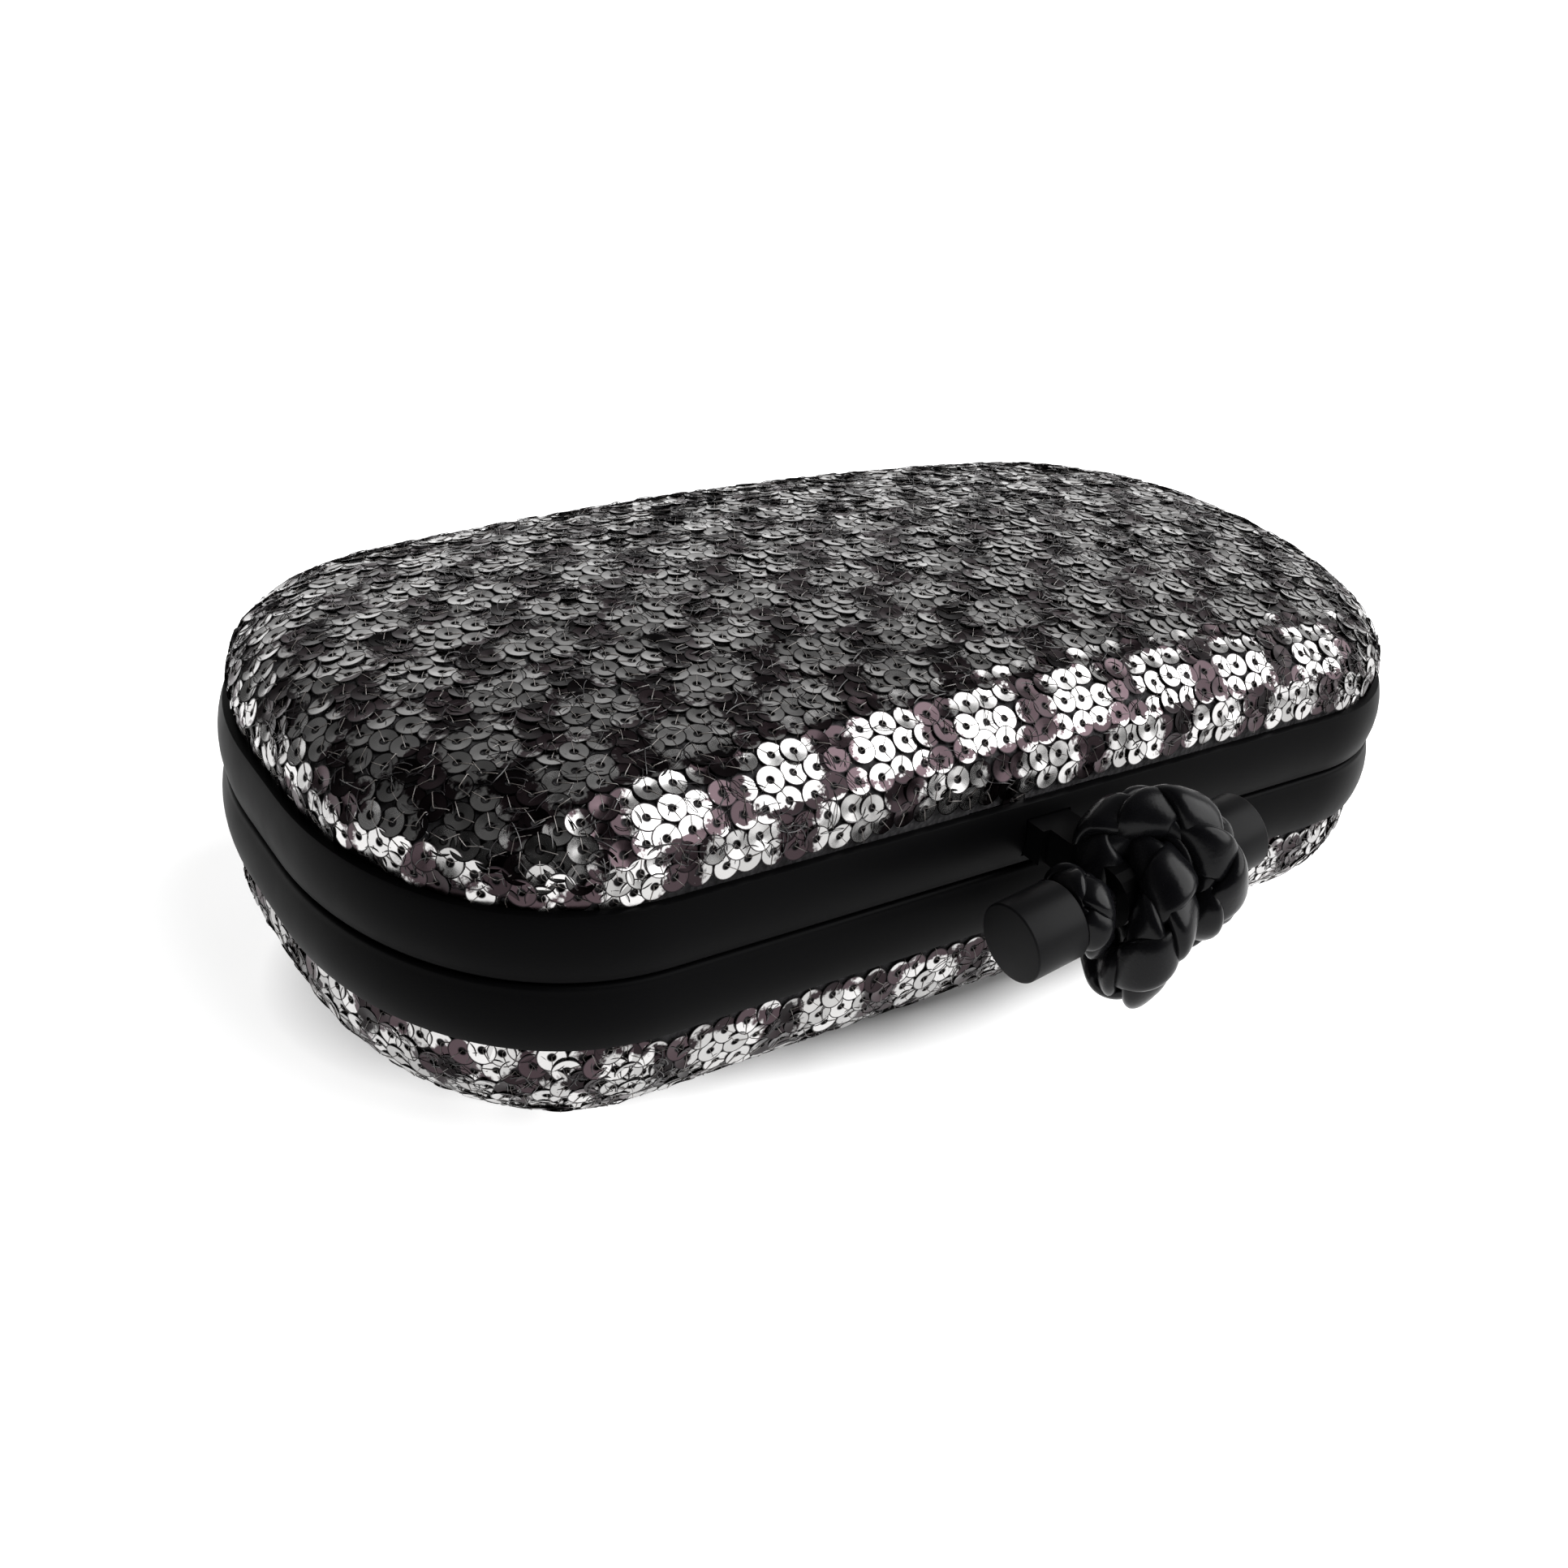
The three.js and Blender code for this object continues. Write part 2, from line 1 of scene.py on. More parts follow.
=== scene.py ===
import json
import math

import bmesh
import bpy
import numpy as np
from mathutils import Matrix, Vector


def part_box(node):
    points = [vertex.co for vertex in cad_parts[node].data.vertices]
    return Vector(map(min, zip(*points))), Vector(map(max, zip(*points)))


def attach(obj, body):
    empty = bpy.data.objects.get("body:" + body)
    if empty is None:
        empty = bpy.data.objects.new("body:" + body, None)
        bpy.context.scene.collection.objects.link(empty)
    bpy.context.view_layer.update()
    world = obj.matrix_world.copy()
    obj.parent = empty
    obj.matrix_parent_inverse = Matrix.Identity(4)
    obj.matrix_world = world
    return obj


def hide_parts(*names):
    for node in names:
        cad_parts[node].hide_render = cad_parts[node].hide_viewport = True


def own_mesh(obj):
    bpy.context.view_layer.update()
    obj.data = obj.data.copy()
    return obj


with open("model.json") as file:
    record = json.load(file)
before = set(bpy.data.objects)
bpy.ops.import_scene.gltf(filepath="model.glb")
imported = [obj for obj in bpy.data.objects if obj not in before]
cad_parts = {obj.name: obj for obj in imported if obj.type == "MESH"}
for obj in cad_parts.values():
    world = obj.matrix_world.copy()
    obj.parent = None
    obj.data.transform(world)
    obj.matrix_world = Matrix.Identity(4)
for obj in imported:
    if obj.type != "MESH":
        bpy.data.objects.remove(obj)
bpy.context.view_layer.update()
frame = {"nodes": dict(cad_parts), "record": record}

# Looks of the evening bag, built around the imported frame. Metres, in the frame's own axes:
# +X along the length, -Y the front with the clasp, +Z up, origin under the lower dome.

MM = 0.001
rng = np.random.default_rng(11)

# ---------- Sizes taken from the frame ----------

RAIL_LOW, RAIL_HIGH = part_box("lower_frame")
UPPER_RAIL_LOW, UPPER_RAIL_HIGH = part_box("upper_frame")
LENGTH = RAIL_HIGH.x - RAIL_LOW.x
WIDTH = RAIL_HIGH.y - RAIL_LOW.y
SEAM = (RAIL_HIGH.z + UPPER_RAIL_LOW.z) / 2
RAIL_HEIGHT = UPPER_RAIL_HIGH.z - SEAM
LOWER_DEPTH = RAIL_LOW.z
SEAM_HALF_GAP = UPPER_RAIL_LOW.z - SEAM
GAP = 0.3 * MM

# Shape constants of the outline, rails and domes, as in the CAD design.
CORNER_ALONG = 37.4 * MM
CORNER_ACROSS = 48.5 * MM
CORNER_POWER = 2.13
RAIL_WALL = 2.4 * MM
RAIL_BULGE = 0.95 * MM
LIP_REACH = 7.1 * MM
LIP_TOP = 1.8 * MM
MORTISE_HALF = 4.3 * MM
MORTISE_BOTTOM = 1.9 * MM
MORTISE_TOP = 8.3 * MM
RIM_INSET = 1.2 * MM
DOME_EDGE = RAIL_HEIGHT + GAP
DOME_SHARES = (0.85, 0.7, 0.55, 0.4, 0.25, 0.1)
FABRIC_DEPTH = 0.5 * MM
FABRIC_BACK = 1.15 * MM
HEM_OUTSIDE = 2.7 * MM
HEM_INSIDE = 3.5 * MM
HEM_END = 4.6 * MM
HEM_START = 11.9 * MM
LINING_DEPTHS = (4.9 * MM, 5.7 * MM)
# Half width, back edge and height of the rooms round the latch, and their front edges.
LATCH_WINDOW = Vector((13.6, 35.0, 10.35)) * MM
LATCH_WINDOW_FRONT = 52.5 * MM
STRIKE_WINDOW = Vector((13.2, 44.4, 4.3)) * MM
STRIKE_WINDOW_FRONT = 51.8 * MM
# Radius, start and end of the holes for the lip screws.
SCREW_HEAD = (2.0 * MM, -1.0 * MM, 1.45 * MM)
SCREW_SHANK = (1.2 * MM, 1.2 * MM, 2.6 * MM)
TUCK = 1.0 * MM
TUCK_ANGLE = math.radians(32)


def upper_crown(x, y):
    along = 6.14 * (1 - (x / (LENGTH / 2)) ** 2)
    across = 6.23 * (1 - (y / (WIDTH / 2)) ** 2)
    return (7.6 + along + across) * MM


def lower_crown(x, y):
    return LOWER_DEPTH + 0 * x


class Half:
    """One half of the case. side points away from the seam; the shoulder turns in to the crown."""

    def __init__(self, name, body, side, shoulder, power, crown):
        self.name = name
        self.body = body
        self.side = side
        self.shoulder = shoulder
        self.power = power
        self.crown = crown

    def height(self, distance):
        return SEAM + self.side * distance


UPPER = Half("upper", "lid", 1, 16.8 * MM, 2.49, upper_crown)
LOWER = Half("lower", "case", -1, 20.8 * MM, 2.0, lower_crown)


# ---------- Node helpers ----------


def new_material(name, base, metallic, roughness):
    """A material, its node tree and its shader."""
    made = bpy.data.materials.new(name)
    made.use_nodes = True
    tree = made.node_tree
    shader = tree.nodes["Principled BSDF"]
    shader.inputs["Base Color"].default_value = (*base, 1)
    shader.inputs["Metallic"].default_value = metallic
    shader.inputs["Roughness"].default_value = roughness
    return made, tree, shader


def object_place(tree):
    return tree.nodes.new("ShaderNodeTexCoord").outputs["Object"]


def noise(tree, scale, detail=4.0, roughness=0.55):
    made = tree.nodes.new("ShaderNodeTexNoise")
    made.inputs["Scale"].default_value = scale
    made.inputs["Detail"].default_value = detail
    made.inputs["Roughness"].default_value = roughness
    tree.links.new(object_place(tree), made.inputs["Vector"])
    return made.outputs["Fac"]


def cells(tree, scale):
    """Distance to the nearest point of an even scatter."""
    made = tree.nodes.new("ShaderNodeTexVoronoi")
    made.inputs["Scale"].default_value = scale
    tree.links.new(object_place(tree), made.inputs["Vector"])
    return made.outputs["Distance"]


def attribute(tree, name):
    """A named number that the mesh carries at each point."""
    made = tree.nodes.new("ShaderNodeAttribute")
    made.attribute_name = name
    return made.outputs["Fac"]


def map_range(tree, value, low, high, from_low=0.3, from_high=0.7):
    made = tree.nodes.new("ShaderNodeMapRange")
    made.inputs["From Min"].default_value = from_low
    made.inputs["From Max"].default_value = from_high
    made.inputs["To Min"].default_value = low
    made.inputs["To Max"].default_value = high
    tree.links.new(value, made.inputs["Value"])
    return made.outputs["Result"]


def mix_colors(tree, factor, first, second):
    """first where the factor is 0 and second where it is 1; each is a colour or a socket."""
    made = tree.nodes.new("ShaderNodeMix")
    made.data_type = "RGBA"
    tree.links.new(factor, made.inputs["Factor"])
    colors_in = [socket for socket in made.inputs if socket.type == "RGBA"]
    for socket, color in zip(colors_in, (first, second)):
        if isinstance(color, tuple):
            socket.default_value = (*color, 1)
        else:
            tree.links.new(color, socket)
    return next(socket for socket in made.outputs if socket.type == "RGBA")


def math_node(tree, operation, first, second):
    made = tree.nodes.new("ShaderNodeMath")
    made.operation = operation
    for socket, value in zip(made.inputs, (first, second)):
        if isinstance(value, (int, float)):
            socket.default_value = value
        else:
            tree.links.new(value, socket)
    return made.outputs["Value"]


def add_bump(tree, shader, height, distance, strength, under=None):
    """Bump on the shader, over an earlier bump where one is given."""
    bump = tree.nodes.new("ShaderNodeBump")
    bump.inputs["Distance"].default_value = distance
    bump.inputs["Strength"].default_value = strength
    tree.links.new(height, bump.inputs["Height"])
    if under is not None:
        tree.links.new(under, bump.inputs["Normal"])
    tree.links.new(bump.outputs["Normal"], shader.inputs["Normal"])
    return bump.outputs["Normal"]


# ---------- Materials ----------


def black_metal(name, lightness, specular):
    """Satin black coating: fine orange peel and faint smears."""
    made, tree, shader = new_material(name, (lightness, lightness, lightness), 0.0, 0.42)
    shader.inputs["Specular IOR Level"].default_value = specular
    smears = noise(tree, 55, 3)
    grain = noise(tree, 2600, 2)
    tree.links.new(map_range(tree, smears, 0.36, 0.5), shader.inputs["Roughness"])
    dark, light = lightness * 0.7, lightness * 1.3
    color = mix_colors(tree, smears, (dark, dark, dark * 1.1), (light, light, light * 1.1))
    tree.links.new(color, shader.inputs["Base Color"])
    add_bump(tree, shader, grain, 0.02 * MM, 0.35)
    return made


def brushed_steel():
    """Bare steel with fine streaks along the length."""
    made, tree, shader = new_material("steel", (0.52, 0.52, 0.54), 1.0, 0.32)
    stretch = tree.nodes.new("ShaderNodeMapping")
    stretch.inputs["Scale"].default_value = (60, 2200, 2200)
    streaks = tree.nodes.new("ShaderNodeTexNoise")
    streaks.inputs["Scale"].default_value = 1.0
    tree.links.new(object_place(tree), stretch.inputs["Vector"])
    tree.links.new(stretch.outputs["Vector"], streaks.inputs["Vector"])
    tree.links.new(map_range(tree, streaks.outputs["Fac"], 0.24, 0.44), shader.inputs["Roughness"])
    add_bump(tree, shader, streaks.outputs["Fac"], 0.01 * MM, 0.5)
    return made


def sequin_foil():
    """Silver foil sequins under a dark print.

    The mesh attribute print_edge is how far a point lies inside a silver cell of the print, and
    radial is its distance from the sequin's centre, both in millimetres; tone is one random number
    for each sequin. Along its cut edge and round its hole the foil is painted dark, as painted shade
    for the gaps under the overlapping sequins and for the hole.
    """
    made, tree, shader = new_material("sequin_foil", (0.8, 0.8, 0.8), 1.0, 0.2)
    tone = attribute(tree, "tone")
    rough_edge = map_range(tree, noise(tree, 900, 3), -0.7, 0.7)
    ragged = math_node(tree, "ADD", attribute(tree, "print_edge"), rough_edge)
    silver_share = map_range(tree, ragged, 0, 1, -0.35, 0.3)
    dark = mix_colors(tree, tone, (0.006, 0.0045, 0.005), (0.075, 0.053, 0.06))
    silver = mix_colors(tree, tone, (0.36, 0.355, 0.35), (0.66, 0.65, 0.645))
    foil = mix_colors(tree, silver_share, dark, silver)
    radial = attribute(tree, "radial")
    # Painted shade: the foil turns near black along its cut edge and round its hole, for the shade in the
    # gaps under overlapping sequins and inside the hole.
    inside_edge = map_range(tree, radial, 1, 0, 1.85, 1.99)
    outside_hole = map_range(tree, radial, 0, 1, 0.56, 0.74)
    outside_painted_shade = math_node(tree, "MULTIPLY", inside_edge, outside_hole)
    foil = mix_colors(tree, outside_painted_shade, (0.012, 0.01, 0.011), foil)
    tree.links.new(foil, shader.inputs["Base Color"])
    tree.links.new(map_range(tree, noise(tree, 420, 3), 0.14, 0.27), shader.inputs["Roughness"])
    add_bump(tree, shader, noise(tree, 500, 2), 0.04 * MM, 0.3)
    return made


def sequin_net():
    """Black net under the sequins."""
    made, tree, shader = new_material("sequin_net", (0.012, 0.011, 0.013), 0.0, 0.85)
    holes = cells(tree, 1100)
    color = mix_colors(tree, holes, (0.022, 0.02, 0.023), (0.006, 0.006, 0.007))
    tree.links.new(color, shader.inputs["Base Color"])
    shader.inputs["Sheen Weight"].default_value = 0.15
    add_bump(tree, shader, holes, 0.25 * MM, 0.9)
    return made


def thread_material(name, low, high):
    """Fine polyester thread, between two tones."""
    made, tree, shader = new_material(name, low, 0.0, 0.3)
    tree.links.new(mix_colors(tree, noise(tree, 260, 2), low, high), shader.inputs["Base Color"])
    return made


def knot_leather():
    """Smooth black leather with fine pores and a soft sheen."""
    made, tree, shader = new_material("knot_leather", (0.004, 0.004, 0.005), 0.0, 0.34)
    shader.inputs["Specular IOR Level"].default_value = 0.15
    wear = noise(tree, 130, 4)
    color = mix_colors(tree, wear, (0.002, 0.002, 0.0025), (0.006, 0.006, 0.007))
    tree.links.new(color, shader.inputs["Base Color"])
    tree.links.new(map_range(tree, wear, 0.2, 0.31), shader.inputs["Roughness"])
    soft = add_bump(tree, shader, wear, 0.15 * MM, 0.25)
    add_bump(tree, shader, cells(tree, 1700), 0.03 * MM, 0.35, soft)
    return made


def suede():
    """Dark napped lining, brushed in soft patches."""
    made, tree, shader = new_material("suede_lining", (0.02, 0.019, 0.022), 0.0, 0.95)
    nap = noise(tree, 240, 5)
    color = mix_colors(tree, nap, (0.013, 0.012, 0.015), (0.034, 0.031, 0.036))
    tree.links.new(color, shader.inputs["Base Color"])
    shader.inputs["Sheen Weight"].default_value = 0.5
    shader.inputs["Sheen Roughness"].default_value = 0.5
    soft = add_bump(tree, shader, nap, 0.3 * MM, 0.3)
    add_bump(tree, shader, noise(tree, 2600, 3), 0.08 * MM, 0.5, soft)
    return made


def foam():
    """Open-celled foam, hidden under the covers."""
    made, tree, shader = new_material("foam", (0.08, 0.08, 0.09), 0.0, 0.95)
    bubbles = tree.nodes.new("ShaderNodeTexVoronoi")
    bubbles.inputs["Scale"].default_value = 900
    add_bump(tree, shader, bubbles.outputs["Distance"], 0.2 * MM, 0.6)
    return made


def moulded_board():
    """Pressed fibre board."""
    made, tree, shader = new_material("moulded_board", (0.06, 0.05, 0.045), 0.0, 0.85)
    fibres = noise(tree, 380, 6, 0.7)
    color = mix_colors(tree, fibres, (0.045, 0.038, 0.034), (0.085, 0.07, 0.06))
    tree.links.new(color, shader.inputs["Base Color"])
    add_bump(tree, shader, fibres, 0.1 * MM, 0.4)
    return made


METAL = black_metal("black_metal", 0.0018, 0.027)
CAP_METAL = black_metal("cap_metal", 0.005, 0.075)
STEEL = brushed_steel()
FOIL = sequin_foil()
NET = sequin_net()
STITCH_THREAD = thread_material("stitch_thread", (0.03, 0.027, 0.026), (0.26, 0.235, 0.22))
DARK_THREAD = thread_material("dark_thread", (0.006, 0.005, 0.006), (0.03, 0.027, 0.029))
LEATHER = knot_leather()
SUEDE = suede()
FOAM = foam()
BOARD = moulded_board()


# ---------- Mesh helpers ----------


def mesh_object(name, points, faces, material, smooth_angle=None):
    data = bpy.data.meshes.new(name)
    data.from_pydata([tuple(p) for p in points], [], [tuple(f) for f in faces])
    made = bpy.data.objects.new(name, data)
    bpy.context.scene.collection.objects.link(made)
    data.materials.append(material)
    fix_normals(made)
    if smooth_angle is not None:
        shade_smooth(made, smooth_angle)
    return made


def fix_normals(made):
    work = bmesh.new()
    work.from_mesh(made.data)
    bmesh.ops.recalc_face_normals(work, faces=work.faces)
    work.to_mesh(made.data)
    work.free()


def shade_smooth(made, angle_degrees):
    made.data.polygons.foreach_set("use_smooth", [True] * len(made.data.polygons))
    made.data.set_sharp_from_angle(angle=math.radians(angle_degrees))


def place_piece(made, body, slot, *replaced):
    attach(made, body)
    if replaced:
        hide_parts(*replaced)
    return made


def ring_faces(count, rows, closed):
    """Quads between successive rings of count points; closed joins the last ring to the first."""
    faces = []
    for row in range(rows if closed else rows - 1):
        a = row * count
        b = ((row + 1) % rows) * count
        faces += [(a + i, a + (i + 1) % count, b + (i + 1) % count, b + i) for i in range(count)]
    return faces


def capped_faces(count, rows):
    """Quads between successive rings of count points, with a flat face on the first and the last."""
    last = (rows - 1) * count
    return ring_faces(count, rows, closed=False) + [tuple(range(count)), tuple(range(last, last + count))]


def outline(inset, corner_steps=28, side_steps=24):
    """Points of the plan outline, inset evenly; the same step lies on a straight line at every inset."""
    straight_x = LENGTH / 2 - CORNER_ALONG
    straight_y = WIDTH / 2 - CORNER_ACROSS
    corner_x = CORNER_ALONG - inset
    corner_y = CORNER_ACROSS - inset
    points = []
    for start, (sign_x, sign_y) in enumerate(((1, 1), (-1, 1), (-1, -1), (1, -1))):
        for step in range(corner_steps + 1):
            angle = (start + step / corner_steps) * math.pi / 2
            x = straight_x + corner_x * abs(math.cos(angle)) ** (2 / CORNER_POWER)
            y = straight_y + corner_y * abs(math.sin(angle)) ** (2 / CORNER_POWER)
            points.append((sign_x * x, sign_y * y))
        if start in (0, 2):
            for step in range(1, side_steps):
                x = straight_x * (1 - 2 * step / side_steps)
                points.append((sign_x * x, sign_y * (straight_y + corner_y)))
    return np.array(points)


def level_ring(half, inset, distance):
    plan = outline(inset)
    return np.column_stack([plan, np.full(len(plan), half.height(distance))])


def dome_ring(half, depth, angle, more_inset=0):
    """One ring of the dome surface at a depth; angle is 0 at the rim and a right angle at the crown."""
    turned_in = 1 - abs(math.cos(angle)) ** (2 / half.power)
    plan = outline(RIM_INSET + depth + more_inset + (half.shoulder - depth) * turned_in)
    rise = (half.crown(plan[:, 0], plan[:, 1]) - GAP - depth) * math.sin(angle) ** (2 / half.power)
    return np.column_stack([plan, half.height(DOME_EDGE + rise)])


def crown_ring(half, depth, share):
    """A ring inside the shoulder, shrunk towards the middle of the dome."""
    plan = outline(RIM_INSET + half.shoulder) * share
    rise = half.crown(plan[:, 0], plan[:, 1]) - GAP - depth
    return np.column_stack([plan, half.height(DOME_EDGE + rise)])


def tuck(angle):
    """How far the fabric turns in behind the rail, by the angle up from the rim."""
    return TUCK * np.clip(1 - np.asarray(angle) / TUCK_ANGLE, 0, 1) ** 2


def dome_surface(half, depth, steps=16, tucked=False):
    angles = [k / steps * math.pi / 2 for k in range(steps + 1)]
    rings = [dome_ring(half, depth, angle, tuck(angle) if tucked else 0) for angle in angles]
    return rings + [crown_ring(half, depth, share) for share in DOME_SHARES]


def two_sided_dome(name, half, depths, rim, material):
    """A closed skin between two depths, with rim rings between its two surfaces."""
    outer = dome_surface(half, depths[0])[::-1]
    rings = outer + rim + dome_surface(half, depths[1])
    return mesh_object(name, np.vstack(rings), capped_faces(len(rings[0]), len(rings)), material, 40)


def cut(made, cutters):
    """Cuts closed meshes out of a piece and removes them."""
    bpy.context.view_layer.objects.active = made
    for cutter in cutters:
        modifier = made.modifiers.new("cut", "BOOLEAN")
        modifier.operation = "DIFFERENCE"
        modifier.solver = "EXACT"
        modifier.object = cutter
        bpy.ops.object.modifier_apply(modifier="cut")
        bpy.data.objects.remove(cutter)


def cutter_box(low, high):
    corners = [(x, y, z) for x in (low[0], high[0]) for y in (low[1], high[1]) for z in (low[2], high[2])]
    faces = [(0, 1, 3, 2), (4, 6, 7, 5), (0, 4, 5, 1), (2, 3, 7, 6), (0, 2, 6, 4), (1, 5, 7, 3)]
    return mesh_object("cutter", corners, faces, METAL)


# ---------- Camera, floor and light ----------


CAMERA_AZIMUTH = math.radians(-36.76)
CAMERA_ELEVATION = math.radians(26.25)
CAMERA_ROLL = math.radians(5.58)
CAMERA_DISTANCE = 300.3 * MM


def add_camera():
    """The main camera, aimed at the middle of the bag's seam and then shifted to frame it."""
    azimuth, elevation, roll = CAMERA_AZIMUTH, CAMERA_ELEVATION, CAMERA_ROLL
    back = Vector((math.sin(azimuth) * math.cos(elevation),
                   -math.cos(azimuth) * math.cos(elevation),
                   math.sin(elevation)))
    right = (-back).cross(Vector((0, 0, 1))).normalized()
    up = right.cross(-back)
    rolled_right = right * math.cos(roll) + up * math.sin(roll)
    rolled_up = up * math.cos(roll) - right * math.sin(roll)
    data = bpy.data.cameras.new("camera")
    data.lens = 39.88
    data.sensor_width = 36
    data.shift_x = -0.0338
    data.shift_y = -0.0463
    data.clip_start = 0.01
    data.clip_end = 20
    made = bpy.data.objects.new("camera", data)
    made.matrix_world = Matrix((
        (rolled_right.x, rolled_up.x, back.x, back.x * CAMERA_DISTANCE),
        (rolled_right.y, rolled_up.y, back.y, back.y * CAMERA_DISTANCE),
        (rolled_right.z, rolled_up.z, back.z, back.z * CAMERA_DISTANCE + SEAM),
        (0, 0, 0, 1),
    ))
    bpy.context.scene.collection.objects.link(made)
    bpy.context.scene.camera = made


FLOOR_HALF = 8.0
# Shares of the bag's half size between which the floor's glow rises to its full strength; inside them the
# glow is cut away as painted shade under the bag.
FLOOR_PAINTED_SHADE_FROM = 0.78
FLOOR_PAINTED_SHADE_TO = 1.0
FLOOR_GLOW = 0.85


def add_floor():
    """A white floor that glows evenly, with painted shade under the bag where the glow falls away."""
    corners = [(FLOOR_HALF * x, FLOOR_HALF * y, 0) for x, y in ((-1, -1), (1, -1), (1, 1), (-1, 1))]
    material, tree, shader = new_material("floor", (0.6, 0.6, 0.6), 0.0, 0.7)
    shader.inputs["Specular IOR Level"].default_value = 0.1
    stretch = tree.nodes.new("ShaderNodeMapping")
    stretch.inputs["Scale"].default_value = (2 / LENGTH, 2 / WIDTH, 1)
    reach = tree.nodes.new("ShaderNodeVectorMath")
    reach.operation = "LENGTH"
    tree.links.new(object_place(tree), stretch.inputs["Vector"])
    tree.links.new(stretch.outputs["Vector"], reach.inputs[0])
    # Painted shade: the floor's glow is zero under the bag and rises to full just past its outline.
    glow = map_range(tree, reach.outputs["Value"], 0.0, FLOOR_GLOW, FLOOR_PAINTED_SHADE_FROM, FLOOR_PAINTED_SHADE_TO)
    shader.inputs["Emission Color"].default_value = (1, 1, 1, 1)
    tree.links.new(glow, shader.inputs["Emission Strength"])
    floor = mesh_object("floor", corners, [(0, 1, 2, 3)], material)


def sky_direction(tree):
    return tree.nodes.new("ShaderNodeTexCoord").outputs["Generated"]


def sky_patch(tree, direction, inner_degrees, outer_degrees):
    """1 inside a soft round patch of the sky, 0 outside it."""
    dot = tree.nodes.new("ShaderNodeVectorMath")
    dot.operation = "DOT_PRODUCT"
    dot.inputs[1].default_value = Vector(direction).normalized()
    tree.links.new(sky_direction(tree), dot.inputs[0])
    made = tree.nodes.new("ShaderNodeMapRange")
    made.interpolation_type = "SMOOTHSTEP"
    made.inputs["From Min"].default_value = math.cos(math.radians(outer_degrees))
    made.inputs["From Max"].default_value = math.cos(math.radians(inner_degrees))
    tree.links.new(dot.outputs["Value"], made.inputs["Value"])
    return made.outputs["Result"]


# Brightness of the studio's walls by height: the sine of the elevation, then the value.
WALL_STOPS = ((0.05, 0.5), (0.16, 0.5), (0.30, 0.54), (0.50, 0.56), (0.64, 0.24), (1.0, 0.1))
# Round patches of the studio: direction, the angles where each is full and gone, and its strength,
# which is a share of the wall's own light where it is below 0.
DARK_SIDE = ((-0.56, -0.70, 0.45), 30, 65, -0.95)
DARK_LEFT = ((-0.85, 0.45, 0.3), 30, 60, -0.75)
SOFTBOX = ((0.54, -0.42, 0.66), 30, 37, 4.4)
BACKDROP = ((0.6, 0.8, 0), 38, 55, 0.7)


def add_world():
    """A plain studio: pale walls, dark on the camera's side, and one large soft light at the right."""
    world = bpy.data.worlds.new("studio")
    bpy.context.scene.world = world
    world.use_nodes = True
    tree = world.node_tree
    split = tree.nodes.new("ShaderNodeSeparateXYZ")
    tree.links.new(sky_direction(tree), split.inputs["Vector"])
    light = wall_ramp(tree, split.outputs["Z"])
    for direction, full, gone, change in (DARK_SIDE, DARK_LEFT):
        shade = math_node(tree, "MULTIPLY", sky_patch(tree, direction, full, gone), change)
        light = math_node(tree, "MULTIPLY", light, math_node(tree, "ADD", shade, 1))
    direction, full, gone, strength = SOFTBOX
    softbox = math_node(tree, "MULTIPLY", sky_patch(tree, direction, full, gone), strength)
    direction, full, gone, strength = BACKDROP
    fading_up = map_range(tree, split.outputs["Z"], strength, 0.0, 0.08, 0.4)
    backdrop = math_node(tree, "MULTIPLY", sky_patch(tree, direction, full, gone), fading_up)
    light = math_node(tree, "ADD", math_node(tree, "ADD", light, softbox), backdrop)
    background = tree.nodes["Background"]
    background.inputs["Color"].default_value = (1, 1, 1, 1)
    tree.links.new(light, background.inputs["Strength"])


def wall_ramp(tree, height):
    made = tree.nodes.new("ShaderNodeValToRGB")
    tree.links.new(height, made.inputs["Fac"])
    stops = made.color_ramp.elements
    while len(stops) < len(WALL_STOPS):
        stops.new(WALL_STOPS[len(stops)][0])
    for stop, (position, value) in zip(stops, WALL_STOPS):
        stop.position = position
        stop.color = (value, value, value, 1)
    return made.outputs["Color"]


# ---------- Rails ----------


def rail_profile():
    """(inset, distance from the seam) round the rail's section, with small rounds on its edges."""
    middle = (RAIL_HEIGHT + SEAM_HALF_GAP) / 2
    reach = (RAIL_HEIGHT - SEAM_HALF_GAP) / 2
    edge = 0.35 * MM
    seam_edge = 0.8 * MM
    points = []
    for step in range(15):
        across = -1 + seam_edge / reach + step / 14 * (2 - (seam_edge + edge) / reach)
        points.append((RAIL_BULGE * across ** 2, middle + reach * across))
    points += [(points[-1][0] + edge * 0.3, RAIL_HEIGHT - edge * 0.3), (points[-1][0] + edge, RAIL_HEIGHT)]
    points += [(RAIL_WALL - 0.1 * MM, RAIL_HEIGHT), (RAIL_WALL, RAIL_HEIGHT - 0.1 * MM)]
    points += [(RAIL_WALL, LIP_TOP), (LIP_REACH - edge, LIP_TOP), (LIP_REACH, LIP_TOP - edge)]
    points += [(LIP_REACH, SEAM_HALF_GAP + edge), (LIP_REACH - edge, SEAM_HALF_GAP)]
    first = points[0][0]
    for step in range(6):
        angle = step / 6 * math.pi / 2
        inset = first + seam_edge * (1 - math.sin(angle))
        points.append((inset, SEAM_HALF_GAP + seam_edge * (1 - math.cos(angle))))
    return points


